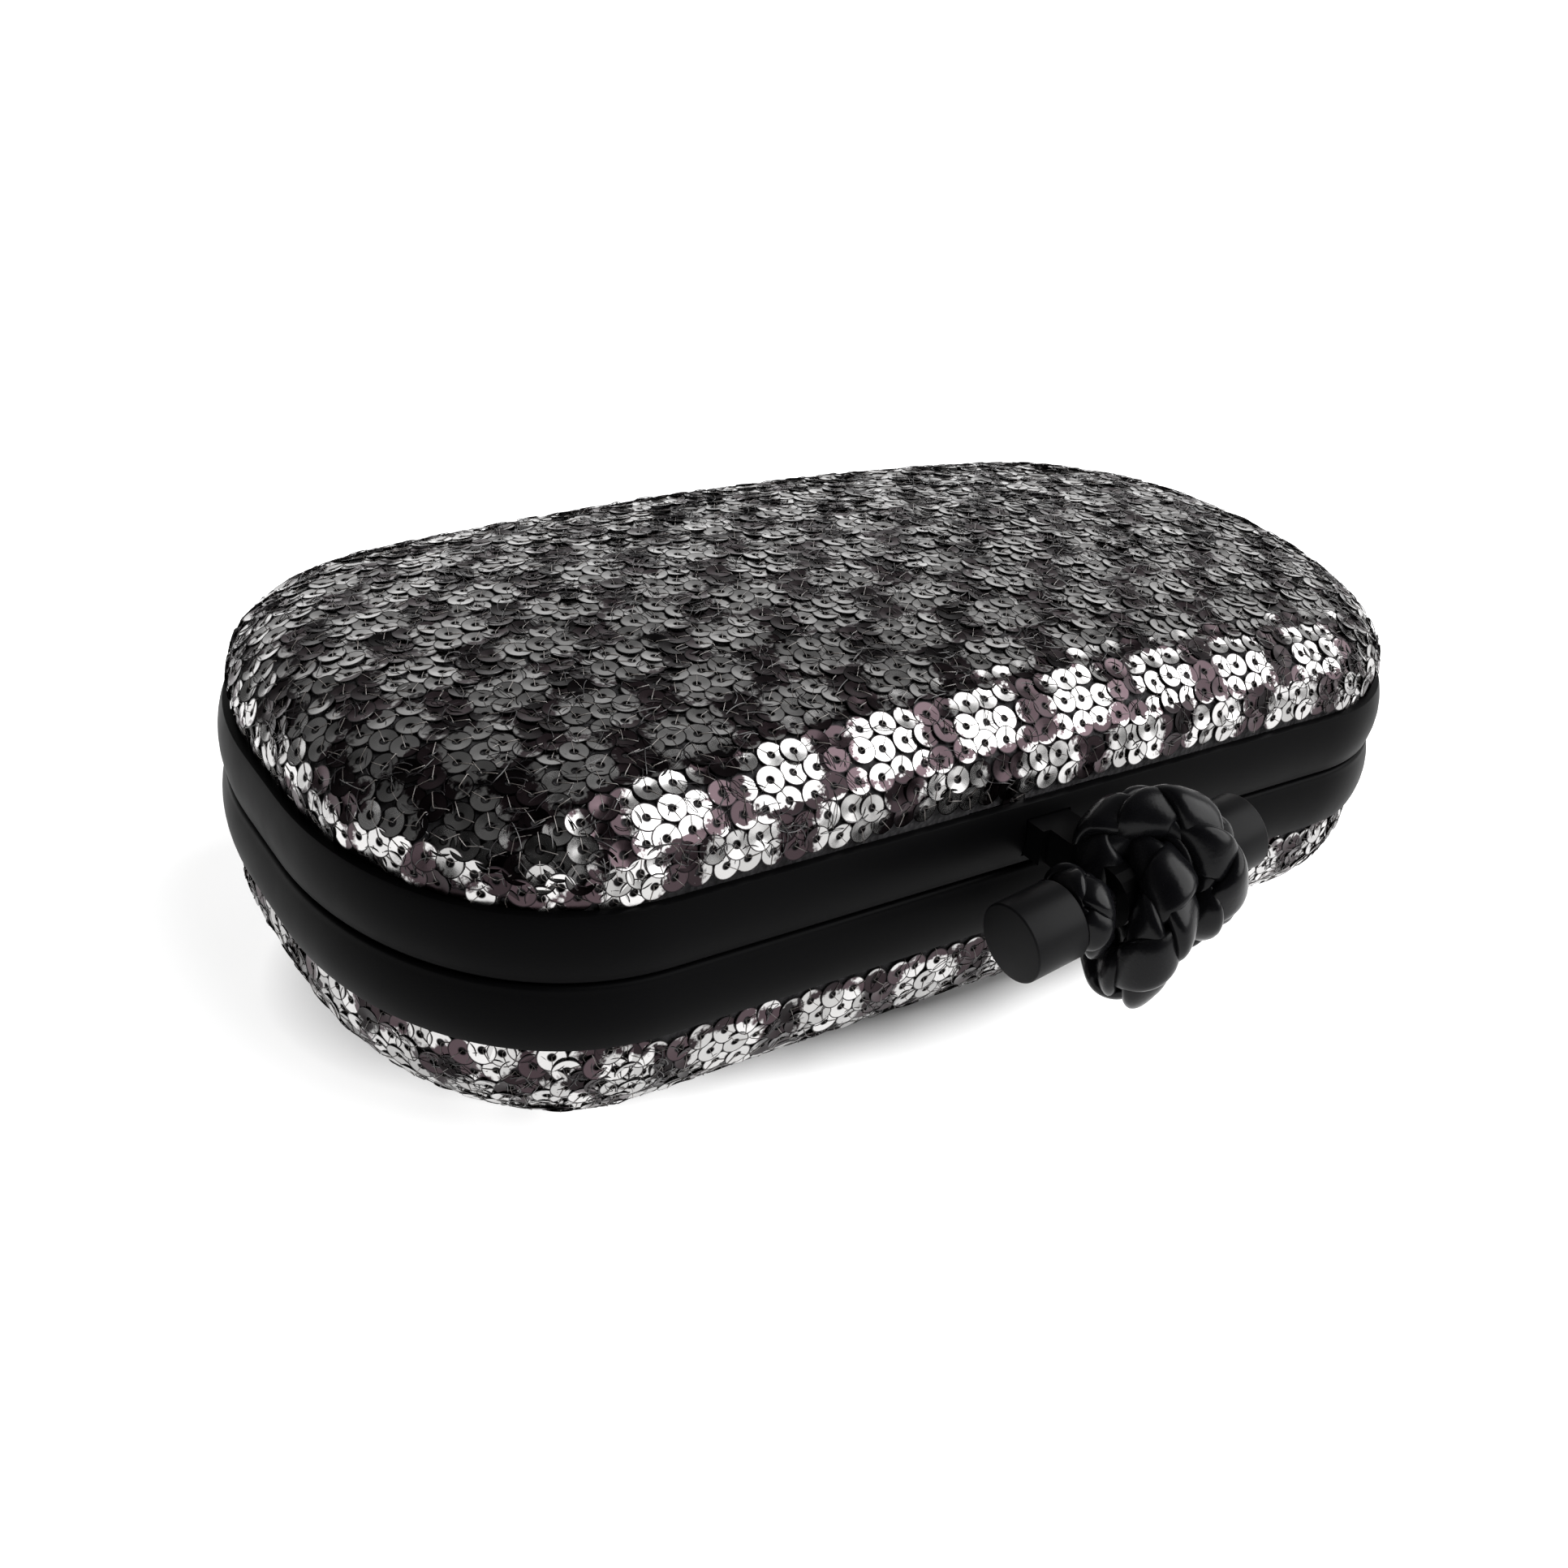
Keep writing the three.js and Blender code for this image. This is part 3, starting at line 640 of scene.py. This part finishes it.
def screw_holes(half, names):
    """Cutters for the countersunk screws through a lip."""
    sides = 32
    cutters = []
    for name in names:
        low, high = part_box(name)
        x, y = (low.x + high.x) / 2, (low.y + high.y) / 2
        for radius, start, end in (SCREW_HEAD, SCREW_SHANK):
            angles = np.linspace(0, 2 * math.pi, sides, endpoint=False)
            circle = np.column_stack([x + radius * np.cos(angles), y + radius * np.sin(angles)])
            rings = [np.column_stack([circle, np.full(sides, half.height(d))]) for d in (start, end)]
            cutters.append(mesh_object("cutter", np.vstack(rings), capped_faces(sides, 2), METAL))
    return cutters


def add_rail(half, screws):
    rings = [level_ring(half, inset, distance) for inset, distance in rail_profile()]
    faces = ring_faces(len(rings[0]), len(rings), closed=True)
    made = mesh_object(half.name + "_rail", np.vstack(rings), faces, METAL)
    cutters = screw_holes(half, screws)
    if half is UPPER:
        cutters.append(cutter_box((-MORTISE_HALF, -WIDTH / 2 - 2 * MM, SEAM + MORTISE_BOTTOM),
                                  (MORTISE_HALF, -WIDTH / 2 + 4 * MM, SEAM + MORTISE_TOP)))
    cut(made, cutters)
    shade_smooth(made, 32)
    place_piece(made, half.body, "black_metal", half.name + "_frame")


# ---------- Covers ----------


def add_net(half):
    """The fabric that the sequins are sewn to, with its hem under the rail."""
    hem = [level_ring(half, inset, distance) for inset, distance in (
        (HEM_OUTSIDE, DOME_EDGE), (HEM_OUTSIDE, HEM_END), (HEM_INSIDE, HEM_END), (HEM_INSIDE, HEM_START))]
    outer = dome_surface(half, FABRIC_DEPTH, 24, tucked=True)[::-1]
    inner = dome_surface(half, FABRIC_BACK, 24, tucked=True)[2:]
    rings = outer + hem + inner
    faces = capped_faces(len(rings[0]), len(rings))
    made = mesh_object(half.name + "_net", np.vstack(rings), faces, NET, 40)
    if half is UPPER:
        cut(made, [latch_window()])
    place_piece(made, half.body, "sequin_fabric", half.name + "_cover")


def latch_window():
    """Cutter for the room that the cover and lining leave round the latch housing."""
    return cutter_box((-LATCH_WINDOW.x, -LATCH_WINDOW_FRONT, SEAM),
                      (LATCH_WINDOW.x, -LATCH_WINDOW.y, SEAM + LATCH_WINDOW.z))


def strike_window():
    """Cutter for the room that the lower lining leaves round the strike plate."""
    return cutter_box((-STRIKE_WINDOW.x, -STRIKE_WINDOW_FRONT, SEAM - STRIKE_WINDOW.z),
                      (STRIKE_WINDOW.x, -STRIKE_WINDOW.y, SEAM))


class Drape:
    """Lays flat fabric coordinates on a dome: flat over the crown, along the arc of the shoulder beyond."""

    def __init__(self, half, depth):
        self.half = half
        self.depth = depth
        self.inner = outline(RIM_INSET + half.shoulder, 240, 60)
        self.rim = outline(RIM_INSET + depth, 240, 60)
        angles = np.linspace(math.pi / 2, 0, 400)
        out = (half.shoulder - depth) * np.cos(angles) ** (2 / half.power)
        rise = (half.crown(0.0, WIDTH / 2) - GAP) * np.sin(angles) ** (2 / half.power)
        steps = np.hypot(np.diff(out), np.diff(rise))
        self.arc = np.concatenate([[0], np.cumsum(steps)])
        self.angles = angles
        self.length = self.arc[-1]

    def inside(self, flat):
        x, y = np.abs(flat[:, 0]), np.abs(flat[:, 1])
        inset = RIM_INSET + self.half.shoulder
        straight_x, straight_y = LENGTH / 2 - CORNER_ALONG, WIDTH / 2 - CORNER_ACROSS
        u = np.clip(x - straight_x, 0, None) / (CORNER_ALONG - inset)
        v = np.clip(y - straight_y, 0, None) / (CORNER_ACROSS - inset)
        return u ** CORNER_POWER + v ** CORNER_POWER < 1

    def foot(self, flat):
        """Nearest place on the inner outline: its step number, with the fraction, and the distance."""
        start, end = self.inner, np.roll(self.inner, -1, axis=0)
        span = end - start
        length2 = (span ** 2).sum(1) + 1e-18
        best = np.full(len(flat), 1e9)
        where = np.zeros(len(flat))
        for index in range(len(start)):
            t = np.clip(((flat - start[index]) @ span[index]) / length2[index], 0, 1)
            gap = np.linalg.norm(flat - start[index] - t[:, None] * span[index], axis=1)
            nearer = gap < best
            best[nearer] = gap[nearer]
            where[nearer] = index + t[nearer]
        return where, best

    def place(self, flat):
        """Points on the surface, and how far past the crown each lies along the shoulder."""
        half = self.half
        where, past = self.foot(flat)
        past = np.where(self.inside(flat), 0, past)
        index = where.astype(int) % len(self.inner)
        share = (where - where.astype(int))[:, None]
        following = (index + 1) % len(self.inner)
        inner = self.inner[index] * (1 - share) + self.inner[following] * share
        rim = self.rim[index] * (1 - share) + self.rim[following] * share
        angle = np.interp(past, self.arc, self.angles)
        out = np.cos(angle) ** (2 / half.power)
        draped = inner + (rim - inner) * out[:, None] - unit(rim - inner) * tuck(angle)[:, None]
        plan = np.where((past > 0)[:, None], draped, flat)
        rise = (half.crown(plan[:, 0], plan[:, 1]) - GAP - self.depth)
        rise = rise * np.sin(angle) ** (2 / half.power)
        return np.column_stack([plan, half.height(DOME_EDGE + rise)]), past

    def frames(self, flat):
        """Points with tangent, cross tangent and outward normal."""
        step = 0.4 * MM
        points, past = self.place(flat)
        along = self.place(flat + (step, 0))[0] - self.place(flat - (step, 0))[0]
        across = self.place(flat + (0, step))[0] - self.place(flat - (0, step))[0]
        normal = unit(np.cross(along, across)) * self.half.side
        tangent = unit(along - normal * (along * normal).sum(1)[:, None])
        return points, tangent, np.cross(normal, tangent), normal, past


def unit(vectors):
    return vectors / (np.linalg.norm(vectors, axis=1)[:, None] + 1e-12)


SEQUIN_PITCH = 3.7 * MM
SEQUIN_ROW = 3.25 * MM
SEQUIN_RADIUS = 2.08 * MM
SEQUIN_HOLE = 0.5 * MM
SEQUIN_CUP = 0.15 * MM
SEQUIN_HALF_THICKNESS = 0.05 * MM
SEQUIN_SIDES = 24
SEQUIN_SHEETS = 3
SEQUIN_WANDER = 0.22 * MM
SEQUIN_LIFT = (0.16, 0.42)
SEQUIN_LEANS = ((1.2, 2.8), (0.8, 2.9))
# A stitch from a sequin's hole over its edge: distance out and height, in millimetres.
STITCH_PROFILE = ((0.0, -0.2), (0.3, 0.1), (1.2, 0.17), (2.12, 0.22), (2.3, -0.1))
STITCH_RADIUS = 0.06 * MM
# Mean and spread, in radians: the first stitch's heading, and the angle from it to the second.
STITCH_HEADING = (-0.9, 0.8)
STITCH_SPREAD = (2.1, 0.3)
LOOP_COUNT = 7000
LOOPS_IN_SILVER = 0.2
LOOP_RADIUS = 0.07 * MM
# Ranges of the loops' half span and height and the spread of their sway, in millimetres.
LOOP_SPAN = (1.2, 3.0)
LOOP_HEIGHT = (0.45, 0.8)
LOOP_SWAY = 0.7
LOOP_MARGIN = 3 * MM
# The print: staggered rows of leaning silver cells with rounded corners.
CELL_ALONG = 17.6 * MM
CELL_ACROSS = 9.6 * MM
CELL_HALF_ALONG = 5.7 * MM
CELL_HALF_ACROSS = 4.6 * MM
CELL_LEAN = 0.12
CELL_POWER = 3.6


def sequin_lattice(drape):
    """Staggered rows of sequins over the whole fabric, as flat coordinates."""
    reach_x = LENGTH / 2 + drape.length
    reach_y = WIDTH / 2 + drape.length
    rows = int(reach_y / SEQUIN_ROW)
    columns = int(reach_x / SEQUIN_PITCH)
    flat = np.array([
        ((column + 0.5 * (row % 2)) * SEQUIN_PITCH, row * SEQUIN_ROW)
        for row in range(-rows, rows + 1)
        for column in range(-columns, columns + 1)
    ])
    return flat + rng.normal(0, SEQUIN_WANDER, flat.shape)


def print_edge(flat):
    """How far a fabric point lies inside a silver cell of the print (negative: in the dark), in mm."""
    row = np.round(flat[:, 1] / CELL_ACROSS)
    shift = np.where(row.astype(int) % 2 == 0, 0, 0.5)
    column = np.round(flat[:, 0] / CELL_ALONG - shift) + shift
    dy = flat[:, 1] - row * CELL_ACROSS
    dx = flat[:, 0] - column * CELL_ALONG - CELL_LEAN * dy
    reach = (np.abs(dx / CELL_HALF_ALONG) ** CELL_POWER + np.abs(dy / CELL_HALF_ACROSS) ** CELL_POWER)
    return (1 - reach ** (1 / CELL_POWER)) * CELL_HALF_ACROSS / MM


def washer():
    """A thin, cupped sequin with a centre hole: points and quads."""
    angles = np.linspace(0, 2 * math.pi, SEQUIN_SIDES, endpoint=False)
    section = ((SEQUIN_RADIUS, SEQUIN_CUP + SEQUIN_HALF_THICKNESS),
               (SEQUIN_HOLE, SEQUIN_HALF_THICKNESS),
               (SEQUIN_HOLE, -SEQUIN_HALF_THICKNESS),
               (SEQUIN_RADIUS, SEQUIN_CUP - SEQUIN_HALF_THICKNESS))
    rings = []
    for radius, height in section:
        circle = np.column_stack([radius * np.cos(angles), radius * np.sin(angles)])
        rings.append(np.column_stack([circle, np.full(SEQUIN_SIDES, height)]))
    return np.vstack(rings), np.array(ring_faces(SEQUIN_SIDES, len(section), closed=True))


def copies(name, points, faces, places, axes, values, material):
    """One mesh of many copies of a small closed shape, each with its own axes.

    values holds named numbers for the copies, one row for each and one column for each point.
    """
    count, size = len(places), len(points)
    moved = places[:, None, :] + np.einsum("pk,nkj->npj", points, axes)
    indices = (faces[None] + (np.arange(count) * size)[:, None, None]).reshape(-1, faces.shape[1])
    data = bpy.data.meshes.new(name)
    data.vertices.add(count * size)
    data.vertices.foreach_set("co", moved.astype(np.float32).ravel())
    data.loops.add(indices.size)
    data.loops.foreach_set("vertex_index", indices.astype(np.int32).ravel())
    data.polygons.add(len(indices))
    data.polygons.foreach_set("loop_start", np.arange(len(indices), dtype=np.int32) * faces.shape[1])
    data.update()
    data.validate()
    for key, numbers in values.items():
        attribute = data.attributes.new(key, "FLOAT", "POINT")
        attribute.data.foreach_set("value", numbers.astype(np.float32).ravel())
    made = bpy.data.objects.new(name, data)
    bpy.context.scene.collection.objects.link(made)
    data.materials.append(material)
    return made


def tilted_axes(tangent, cross, normal):
    """Axes of each sequin: every one leans on its neighbours, a little at random."""
    lean_x, lean_y = (np.radians(rng.normal(mean, spread, len(tangent)))[:, None]
                      for mean, spread in SEQUIN_LEANS)
    new_normal = unit(normal + cross * lean_x + tangent * lean_y)
    new_tangent = unit(tangent - new_normal * (tangent * new_normal).sum(1)[:, None])
    return np.stack([new_tangent, np.cross(new_normal, new_tangent), new_normal], axis=1)


def add_sequins(half):
    drape = Drape(half, FABRIC_DEPTH)
    flat = sequin_lattice(drape)
    places, tangent, cross, normal, past = drape.frames(flat)
    keep = past < drape.length
    flat, places, tangent, cross, normal = (a[keep] for a in (flat, places, tangent, cross, normal))
    axes = tilted_axes(tangent, cross, normal)
    places = places + normal * (rng.uniform(*SEQUIN_LIFT, len(places))[:, None] * MM)
    points, faces = washer()
    over_fabric = flat[:, None, :] + points[None, :, :2] * (1, half.side)
    edge = print_edge(over_fabric.reshape(-1, 2)).reshape(len(flat), len(points))
    tone = np.repeat(rng.random(len(flat)), len(points)).reshape(edge.shape)
    radial = np.tile(np.hypot(points[:, 0], points[:, 1]) / MM, (len(flat), 1))
    order = np.argsort(places[:, 0])
    for number, chosen in enumerate(np.array_split(order, SEQUIN_SHEETS)):
        values = {"print_edge": edge[chosen], "tone": tone[chosen], "radial": radial[chosen]}
        name = f"{half.name}_sequins_{number}"
        made = copies(name, points, faces, places[chosen], axes[chosen], values, FOIL)
        shade_smooth(made, 18)
        place_piece(made, half.body, "sequin_fabric")
    add_stitches(half, places, axes)
    add_loops(half, drape)


def tubes(name, paths, up, radius, material):
    """Many thin three-sided threads of equally many points; up is a direction near each one's side."""
    count, length, _ = paths.shape
    along = np.gradient(paths, axis=1).reshape(-1, 3)
    side = unit(np.cross(along, np.repeat(up, length, axis=0)))
    lift = unit(np.cross(side, along))
    flat = paths.reshape(-1, 3)
    corners = []
    for k in range(3):
        angle = 2 * math.pi * k / 3
        corners.append(flat + radius * (math.cos(angle) * side + math.sin(angle) * lift))
    points = np.stack(corners, axis=1).reshape(count, length * 3, 3)
    quads = [(3 * r + k, 3 * r + (k + 1) % 3, 3 * r + 3 + (k + 1) % 3, 3 * r + 3 + k)
             for r in range(length - 1) for k in range(3)]
    last = 3 * (length - 1)
    faces = []
    for n in range(count):
        base = n * length * 3
        faces += [tuple(base + i for i in quad) for quad in quads]
        faces += [(base + 2, base + 1, base), (base + last, base + last + 1, base + last + 2)]
    data = bpy.data.meshes.new(name)
    data.from_pydata(points.reshape(-1, 3).tolist(), [], faces)
    made = bpy.data.objects.new(name, data)
    bpy.context.scene.collection.objects.link(made)
    data.materials.append(material)
    shade_smooth(made, 80)
    return made


def add_stitches(half, places, axes):
    """Each sequin is held by two threads from its hole over its edge."""
    first = rng.normal(*STITCH_HEADING, len(places))
    paths = []
    for heading in (first, first + rng.normal(*STITCH_SPREAD, len(places))):
        direction = axes[:, 0] * np.cos(heading)[:, None] + axes[:, 1] * np.sin(heading)[:, None]
        paths.append(np.stack([
            places + direction * out * MM + axes[:, 2] * high * MM for out, high in STITCH_PROFILE
        ], axis=1))
    up = np.concatenate([axes[:, 2], axes[:, 2]])
    made = tubes(half.name + "_stitches", np.concatenate(paths), up, STITCH_RADIUS, STITCH_THREAD)
    place_piece(made, half.body, "sequin_fabric")


def add_loops(half, drape):
    """Slack thread that stands up a little between the sequins, mostly in the dark of the print."""
    flat = np.column_stack([rng.uniform(-0.5, 0.5, LOOP_COUNT) * (LENGTH + drape.length),
                            rng.uniform(-0.5, 0.5, LOOP_COUNT) * (WIDTH + drape.length)])
    dark = (print_edge(flat) < 0) | (rng.random(LOOP_COUNT) < LOOPS_IN_SILVER)
    places, tangent, cross, normal, past = drape.frames(flat)
    keep = dark & (past < drape.length - LOOP_MARGIN)
    places, tangent, cross, normal = (a[keep] for a in (places, tangent, cross, normal))
    heading = rng.uniform(0, 2 * math.pi, len(places))
    direction = tangent * np.cos(heading)[:, None] + cross * np.sin(heading)[:, None]
    sideways = np.cross(normal, direction)
    span = rng.uniform(*LOOP_SPAN, len(places))[:, None] * MM
    height = rng.uniform(*LOOP_HEIGHT, len(places))[:, None] * MM
    sway = rng.normal(0, LOOP_SWAY, len(places))[:, None] * MM
    steps = np.linspace(-1, 1, 8)
    paths = np.stack([
        places + direction * span * t + sideways * sway * (1 - t * t) + normal * height * (1 - t ** 4)
        for t in steps
    ], axis=1)
    made = tubes(half.name + "_loose_thread", paths, normal, LOOP_RADIUS, DARK_THREAD)
    place_piece(made, half.body, "sequin_fabric")


# ---------- Lining ----------


def add_lining(half):
    """The suede inside the shell, open round the latch or the strike plate."""
    end = LIP_TOP + GAP
    rim = [level_ring(half, RIM_INSET + depth, end) for depth in LINING_DEPTHS]
    made = two_sided_dome(half.name + "_suede", half, LINING_DEPTHS, rim, SUEDE)
    cut(made, [latch_window() if half is UPPER else strike_window()])
    shade_smooth(made, 40)
    place_piece(made, half.body, "suede_lining", half.name + "_lining")


# ---------- Clasp ----------


ROD_CENTRE = Vector((2.2 * MM, -70.8 * MM, SEAM + 4.4 * MM))
ROD_YAW = math.radians(2.1)
ROD_TILT = math.radians(7.2)
CAP_RADIUS = 5.9 * MM
CAP_FROM = 13.4 * MM
CAP_TO = 22.6 * MM
CAP_BORE = 2.3 * MM
CAP_BORE_END = 20.2 * MM
CAP_EDGE = 0.3 * MM


def on_rod(points):
    """Turns points given along +X about the rod's centre into their place."""
    turn = np.array(Matrix.Rotation(ROD_YAW, 3, "Z") @ Matrix.Rotation(-ROD_TILT, 3, "Y"))
    return np.asarray(points) @ turn.T + np.array(ROD_CENTRE)


def add_cap(name, side):
    """A plain cylinder with rounded edges and a blind hole for the rod."""
    rounding = [(CAP_EDGE * (1 - math.cos(angle)), CAP_EDGE * (1 - math.sin(angle)))
                for angle in np.linspace(0, math.pi / 2, 6)]
    profile = [(CAP_BORE, CAP_BORE_END), (CAP_BORE, CAP_FROM)]
    profile += [(CAP_RADIUS - off, CAP_FROM + along) for off, along in rounding[::-1]]
    profile += [(CAP_RADIUS - off, CAP_TO - along) for off, along in rounding]
    profile.append((0.1 * CAP_RADIUS, CAP_TO))
    sides = 96
    angles = np.linspace(0, 2 * math.pi, sides, endpoint=False)
    rings = []
    for radius, along in profile:
        circle = [np.full(sides, side * along), radius * np.cos(angles), radius * np.sin(angles)]
        rings.append(on_rod(np.column_stack(circle)))
    made = mesh_object(name + "_turned", np.vstack(rings), capped_faces(sides, len(rings)), CAP_METAL, 30)
    place_piece(made, "clasp", "black_metal", name)


# The knot is laid out facing the camera, which sees its near side.
KNOT_CENTRE = Vector((5.7 * MM, -73.8 * MM, SEAM + 3.4 * MM))
KNOT_FACING = Vector((-0.537, -0.719, 0.442)).normalized()
KNOT_ROLL = math.radians(5.6)
CORD_RADIUS = 2.35 * MM
CORD_HOP = 0.7 * MM
STRAND_HALF_WIDTH = 3.45 * MM
STRAND_HALF_THICKNESS = 1.6 * MM
STRAND_TURNS = 5
STRAND_SWELL = 0.16
STRAND_SIDES = 24
STRAND_SCALE = 0.95
ROD_TURN_PLACE = 10.4 * MM
ROD_TURN_RADIUS = 3.7 * MM
ROD_TURN_SCALE = 0.66
ROD_TURN_TURNS = 2
KNOT_SCALE = 0.94
# Turning points of the tied cord: right, up and forward from the knot's centre, in millimetres.
KNOT_TURNS = (
    (-8.2, 9.5, 0.0), (-1.5, 13.0, 1.0), (4.8, 10.6, 2.0), (8.3, 4.5, 1.5), (7.4, -1.6, 0.0),
    (2.6, -4.2, -3.0), (-3.5, -2.5, -5.5), (-8.0, 2.5, -5.0), (-7.5, 8.5, -5.5), (-2.0, 8.0, -1.0),
    (-0.5, 4.5, 4.0), (0.0, -0.5, 6.5), (-1.5, -6.0, 6.5), (-4.8, -11.5, 3.5), (-6.0, -12.5, -2.0),
    (-7.5, -8.0, -5.0), (-9.0, -1.0, -2.5), (-9.5, 5.0, 0.0),
)


def knot_path(steps=900):
    """Centreline of the tied cord, closed and evenly spaced."""
    right = (-KNOT_FACING).cross(Vector((0, 0, 1))).normalized()
    up = right.cross(-KNOT_FACING)
    rolled_right = np.array(right * math.cos(KNOT_ROLL) + up * math.sin(KNOT_ROLL))
    rolled_up = np.array(up * math.cos(KNOT_ROLL) - right * math.sin(KNOT_ROLL))
    turns = np.array(KNOT_TURNS) * KNOT_SCALE * MM
    corners = (np.array(KNOT_CENTRE) + np.outer(turns[:, 0], rolled_right)
               + np.outer(turns[:, 1], rolled_up) + np.outer(turns[:, 2], KNOT_FACING))
    return even_loop(closed_curve(corners), steps)


def closed_curve(corners, steps=60):
    """A smooth closed curve through the corners."""
    before, after, beyond = (np.roll(corners, k, axis=0) for k in (1, -1, -2))
    t = np.linspace(0, 1, steps, endpoint=False)[:, None, None]
    curve = 0.5 * (2 * corners + (after - before) * t
                   + (2 * before - 5 * corners + 4 * after - beyond) * t ** 2
                   + (3 * corners - before - 3 * after + beyond) * t ** 3)
    return curve.transpose(1, 0, 2).reshape(-1, 3)


def even_loop(curve, steps, passes=40, reach=6):
    """The same closed curve, softened a little, with evenly spaced points."""
    for _ in range(passes):
        curve = (np.roll(curve, reach, axis=0) + np.roll(curve, -reach, axis=0) + 2 * curve) / 4
    ends = np.vstack([curve, curve[:1]])
    length = np.concatenate([[0], np.cumsum(np.linalg.norm(np.diff(ends, axis=0), axis=1))])
    wanted = np.linspace(0, length[-1], steps, endpoint=False)
    return np.column_stack([np.interp(wanted, length, ends[:, k]) for k in range(3)])


def path_frames(path):
    """Two cross directions along a closed path, without twist, closing on themselves."""
    tangent = unit(np.roll(path, -1, axis=0) - np.roll(path, 1, axis=0))
    first = np.cross(tangent[0], np.array(KNOT_FACING))
    normals = [first / np.linalg.norm(first)]
    for index in range(1, len(path)):
        carried = normals[-1] - tangent[index] * (normals[-1] @ tangent[index])
        normals.append(carried / np.linalg.norm(carried))
    normals = np.array(normals)
    binormals = np.cross(tangent, normals)
    end = normals[-1] - tangent[0] * (normals[-1] @ tangent[0])
    miss = math.atan2(end @ binormals[0], end @ normals[0])
    angle = -miss * np.linspace(0, 1, len(path), endpoint=False)[:, None]
    turned = normals * np.cos(angle) + binormals * np.sin(angle)
    return turned, np.cross(tangent, turned)


def rod_turn(steps=260):
    """Centreline of the turn of cord round the rod, between the knot and the left cylinder."""
    angle = np.linspace(0, 2 * math.pi, steps, endpoint=False)
    across, up = ROD_TURN_RADIUS * np.cos(angle), ROD_TURN_RADIUS * np.sin(angle)
    return on_rod(np.column_stack([np.full(steps, -ROD_TURN_PLACE), across, up]))


def plaited_strands(path, turns, scale):
    """Points and faces of four puffy strands plaited round a closed path, two of each hand."""
    normal, binormal = path_frames(path)
    steps = len(path)
    t = np.linspace(0, 2 * math.pi, steps, endpoint=False)
    points, faces = [], []
    for hand in (1, -1):
        over = hand * np.cos(2 * turns * t)
        for phase in (0, math.pi):
            angle = hand * turns * t + phase
            out = normal * np.cos(angle)[:, None] + binormal * np.sin(angle)[:, None]
            centre = path + out * scale * (CORD_RADIUS + CORD_HOP * over)[:, None]
            along = unit(np.roll(centre, -1, axis=0) - np.roll(centre, 1, axis=0))
            wide = unit(np.cross(along, out))
            high = np.cross(wide, along)
            size = (scale * (1 + STRAND_SWELL * over))[:, None]
            rings = [centre + wide * size * STRAND_HALF_WIDTH * puffed(math.cos(a))
                     + high * size * STRAND_HALF_THICKNESS * puffed(math.sin(a))
                     for a in np.linspace(0, 2 * math.pi, STRAND_SIDES, endpoint=False)]
            base = len(points) * steps * STRAND_SIDES
            points.append(np.stack(rings, axis=1).reshape(-1, 3))
            faces += [tuple(base + i for i in face) for face in ring_faces(STRAND_SIDES, steps, closed=True)]
    return np.vstack(points), faces


def puffed(value):
    """Squares off the strand's section a little."""
    return math.copysign(abs(value) ** 0.85, value)


def add_knot():
    """The tied cord, and its turn round the rod."""
    for name, path, turns, scale in (("plaited_knot", knot_path(), STRAND_TURNS, STRAND_SCALE),
                                     ("plaited_turn", rod_turn(), ROD_TURN_TURNS, ROD_TURN_SCALE)):
        points, faces = plaited_strands(path, turns, scale)
        made = mesh_object(name, points, faces, LEATHER, 70)
        place_piece(made, "clasp", "knot_leather", "clasp_knot")


def add_lug():
    """The lug is the CAD piece with softened edges."""
    lug = frame["nodes"]["clasp_lug"]
    bevel = lug.modifiers.new("edges", "BEVEL")
    bevel.width = 0.35 * MM
    bevel.segments = 3
    bevel.limit_method = "ANGLE"
    bevel.angle_limit = math.radians(40)


SPRING_TURNS = 3
SPRING_WIRE = 0.3 * MM


def add_spring():
    """The latch's coil, wound at one length to fill the CAD spring's box."""
    low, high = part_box("latch_spring")
    middle = (low + high) / 2
    radius = (high.z - low.z) / 2 - SPRING_WIRE
    steps, sides = 216, 10
    share = np.linspace(0, 1, steps)
    angle = 2 * math.pi * SPRING_TURNS * share
    y = low.y + SPRING_WIRE + share * (high.y - low.y - 2 * SPRING_WIRE)
    outward = np.column_stack([np.cos(angle), np.zeros(steps), np.sin(angle)])
    path = (middle.x, 0, middle.z) + radius * outward + np.column_stack([0 * y, y, 0 * y])
    lift = unit(np.cross(np.gradient(path, axis=0), outward))
    rings = [path + SPRING_WIRE * (math.cos(a) * outward + math.sin(a) * lift)
             for a in np.linspace(0, 2 * math.pi, sides, endpoint=False)]
    points = np.stack(rings, axis=1).reshape(-1, 3)
    made = mesh_object("coil_spring", points, capped_faces(sides, steps), STEEL, 40)
    place_piece(made, "lid", "steel", "latch_spring")
    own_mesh(made)


# ---------- Carried-over nodes ----------


def paint_frame():
    by_slot = {"black_metal": METAL, "steel": STEEL, "foam": FOAM, "moulded_board": BOARD,
               "suede_lining": SUEDE, "sequin_fabric": NET, "knot_leather": LEATHER}
    for entry in frame["record"]["subparts"]:
        made = frame["nodes"][entry["node"]]
        made.data.materials.clear()
        made.data.materials.append(by_slot[entry["material_slot"]])


# ---------- Assembly ----------

scene = bpy.context.scene
scene.view_settings.view_transform = "Standard"

add_camera()
add_floor()
add_world()
paint_frame()
add_rail(LOWER, ("strike_screw_left", "strike_screw_right"))
add_rail(UPPER, ("latch_screw_left", "latch_screw_right"))
for half in (UPPER, LOWER):
    add_net(half)
    add_sequins(half)
    add_lining(half)
add_cap("clasp_cap_left", -1)
add_cap("clasp_cap_right", 1)
add_knot()
add_lug()
add_spring()
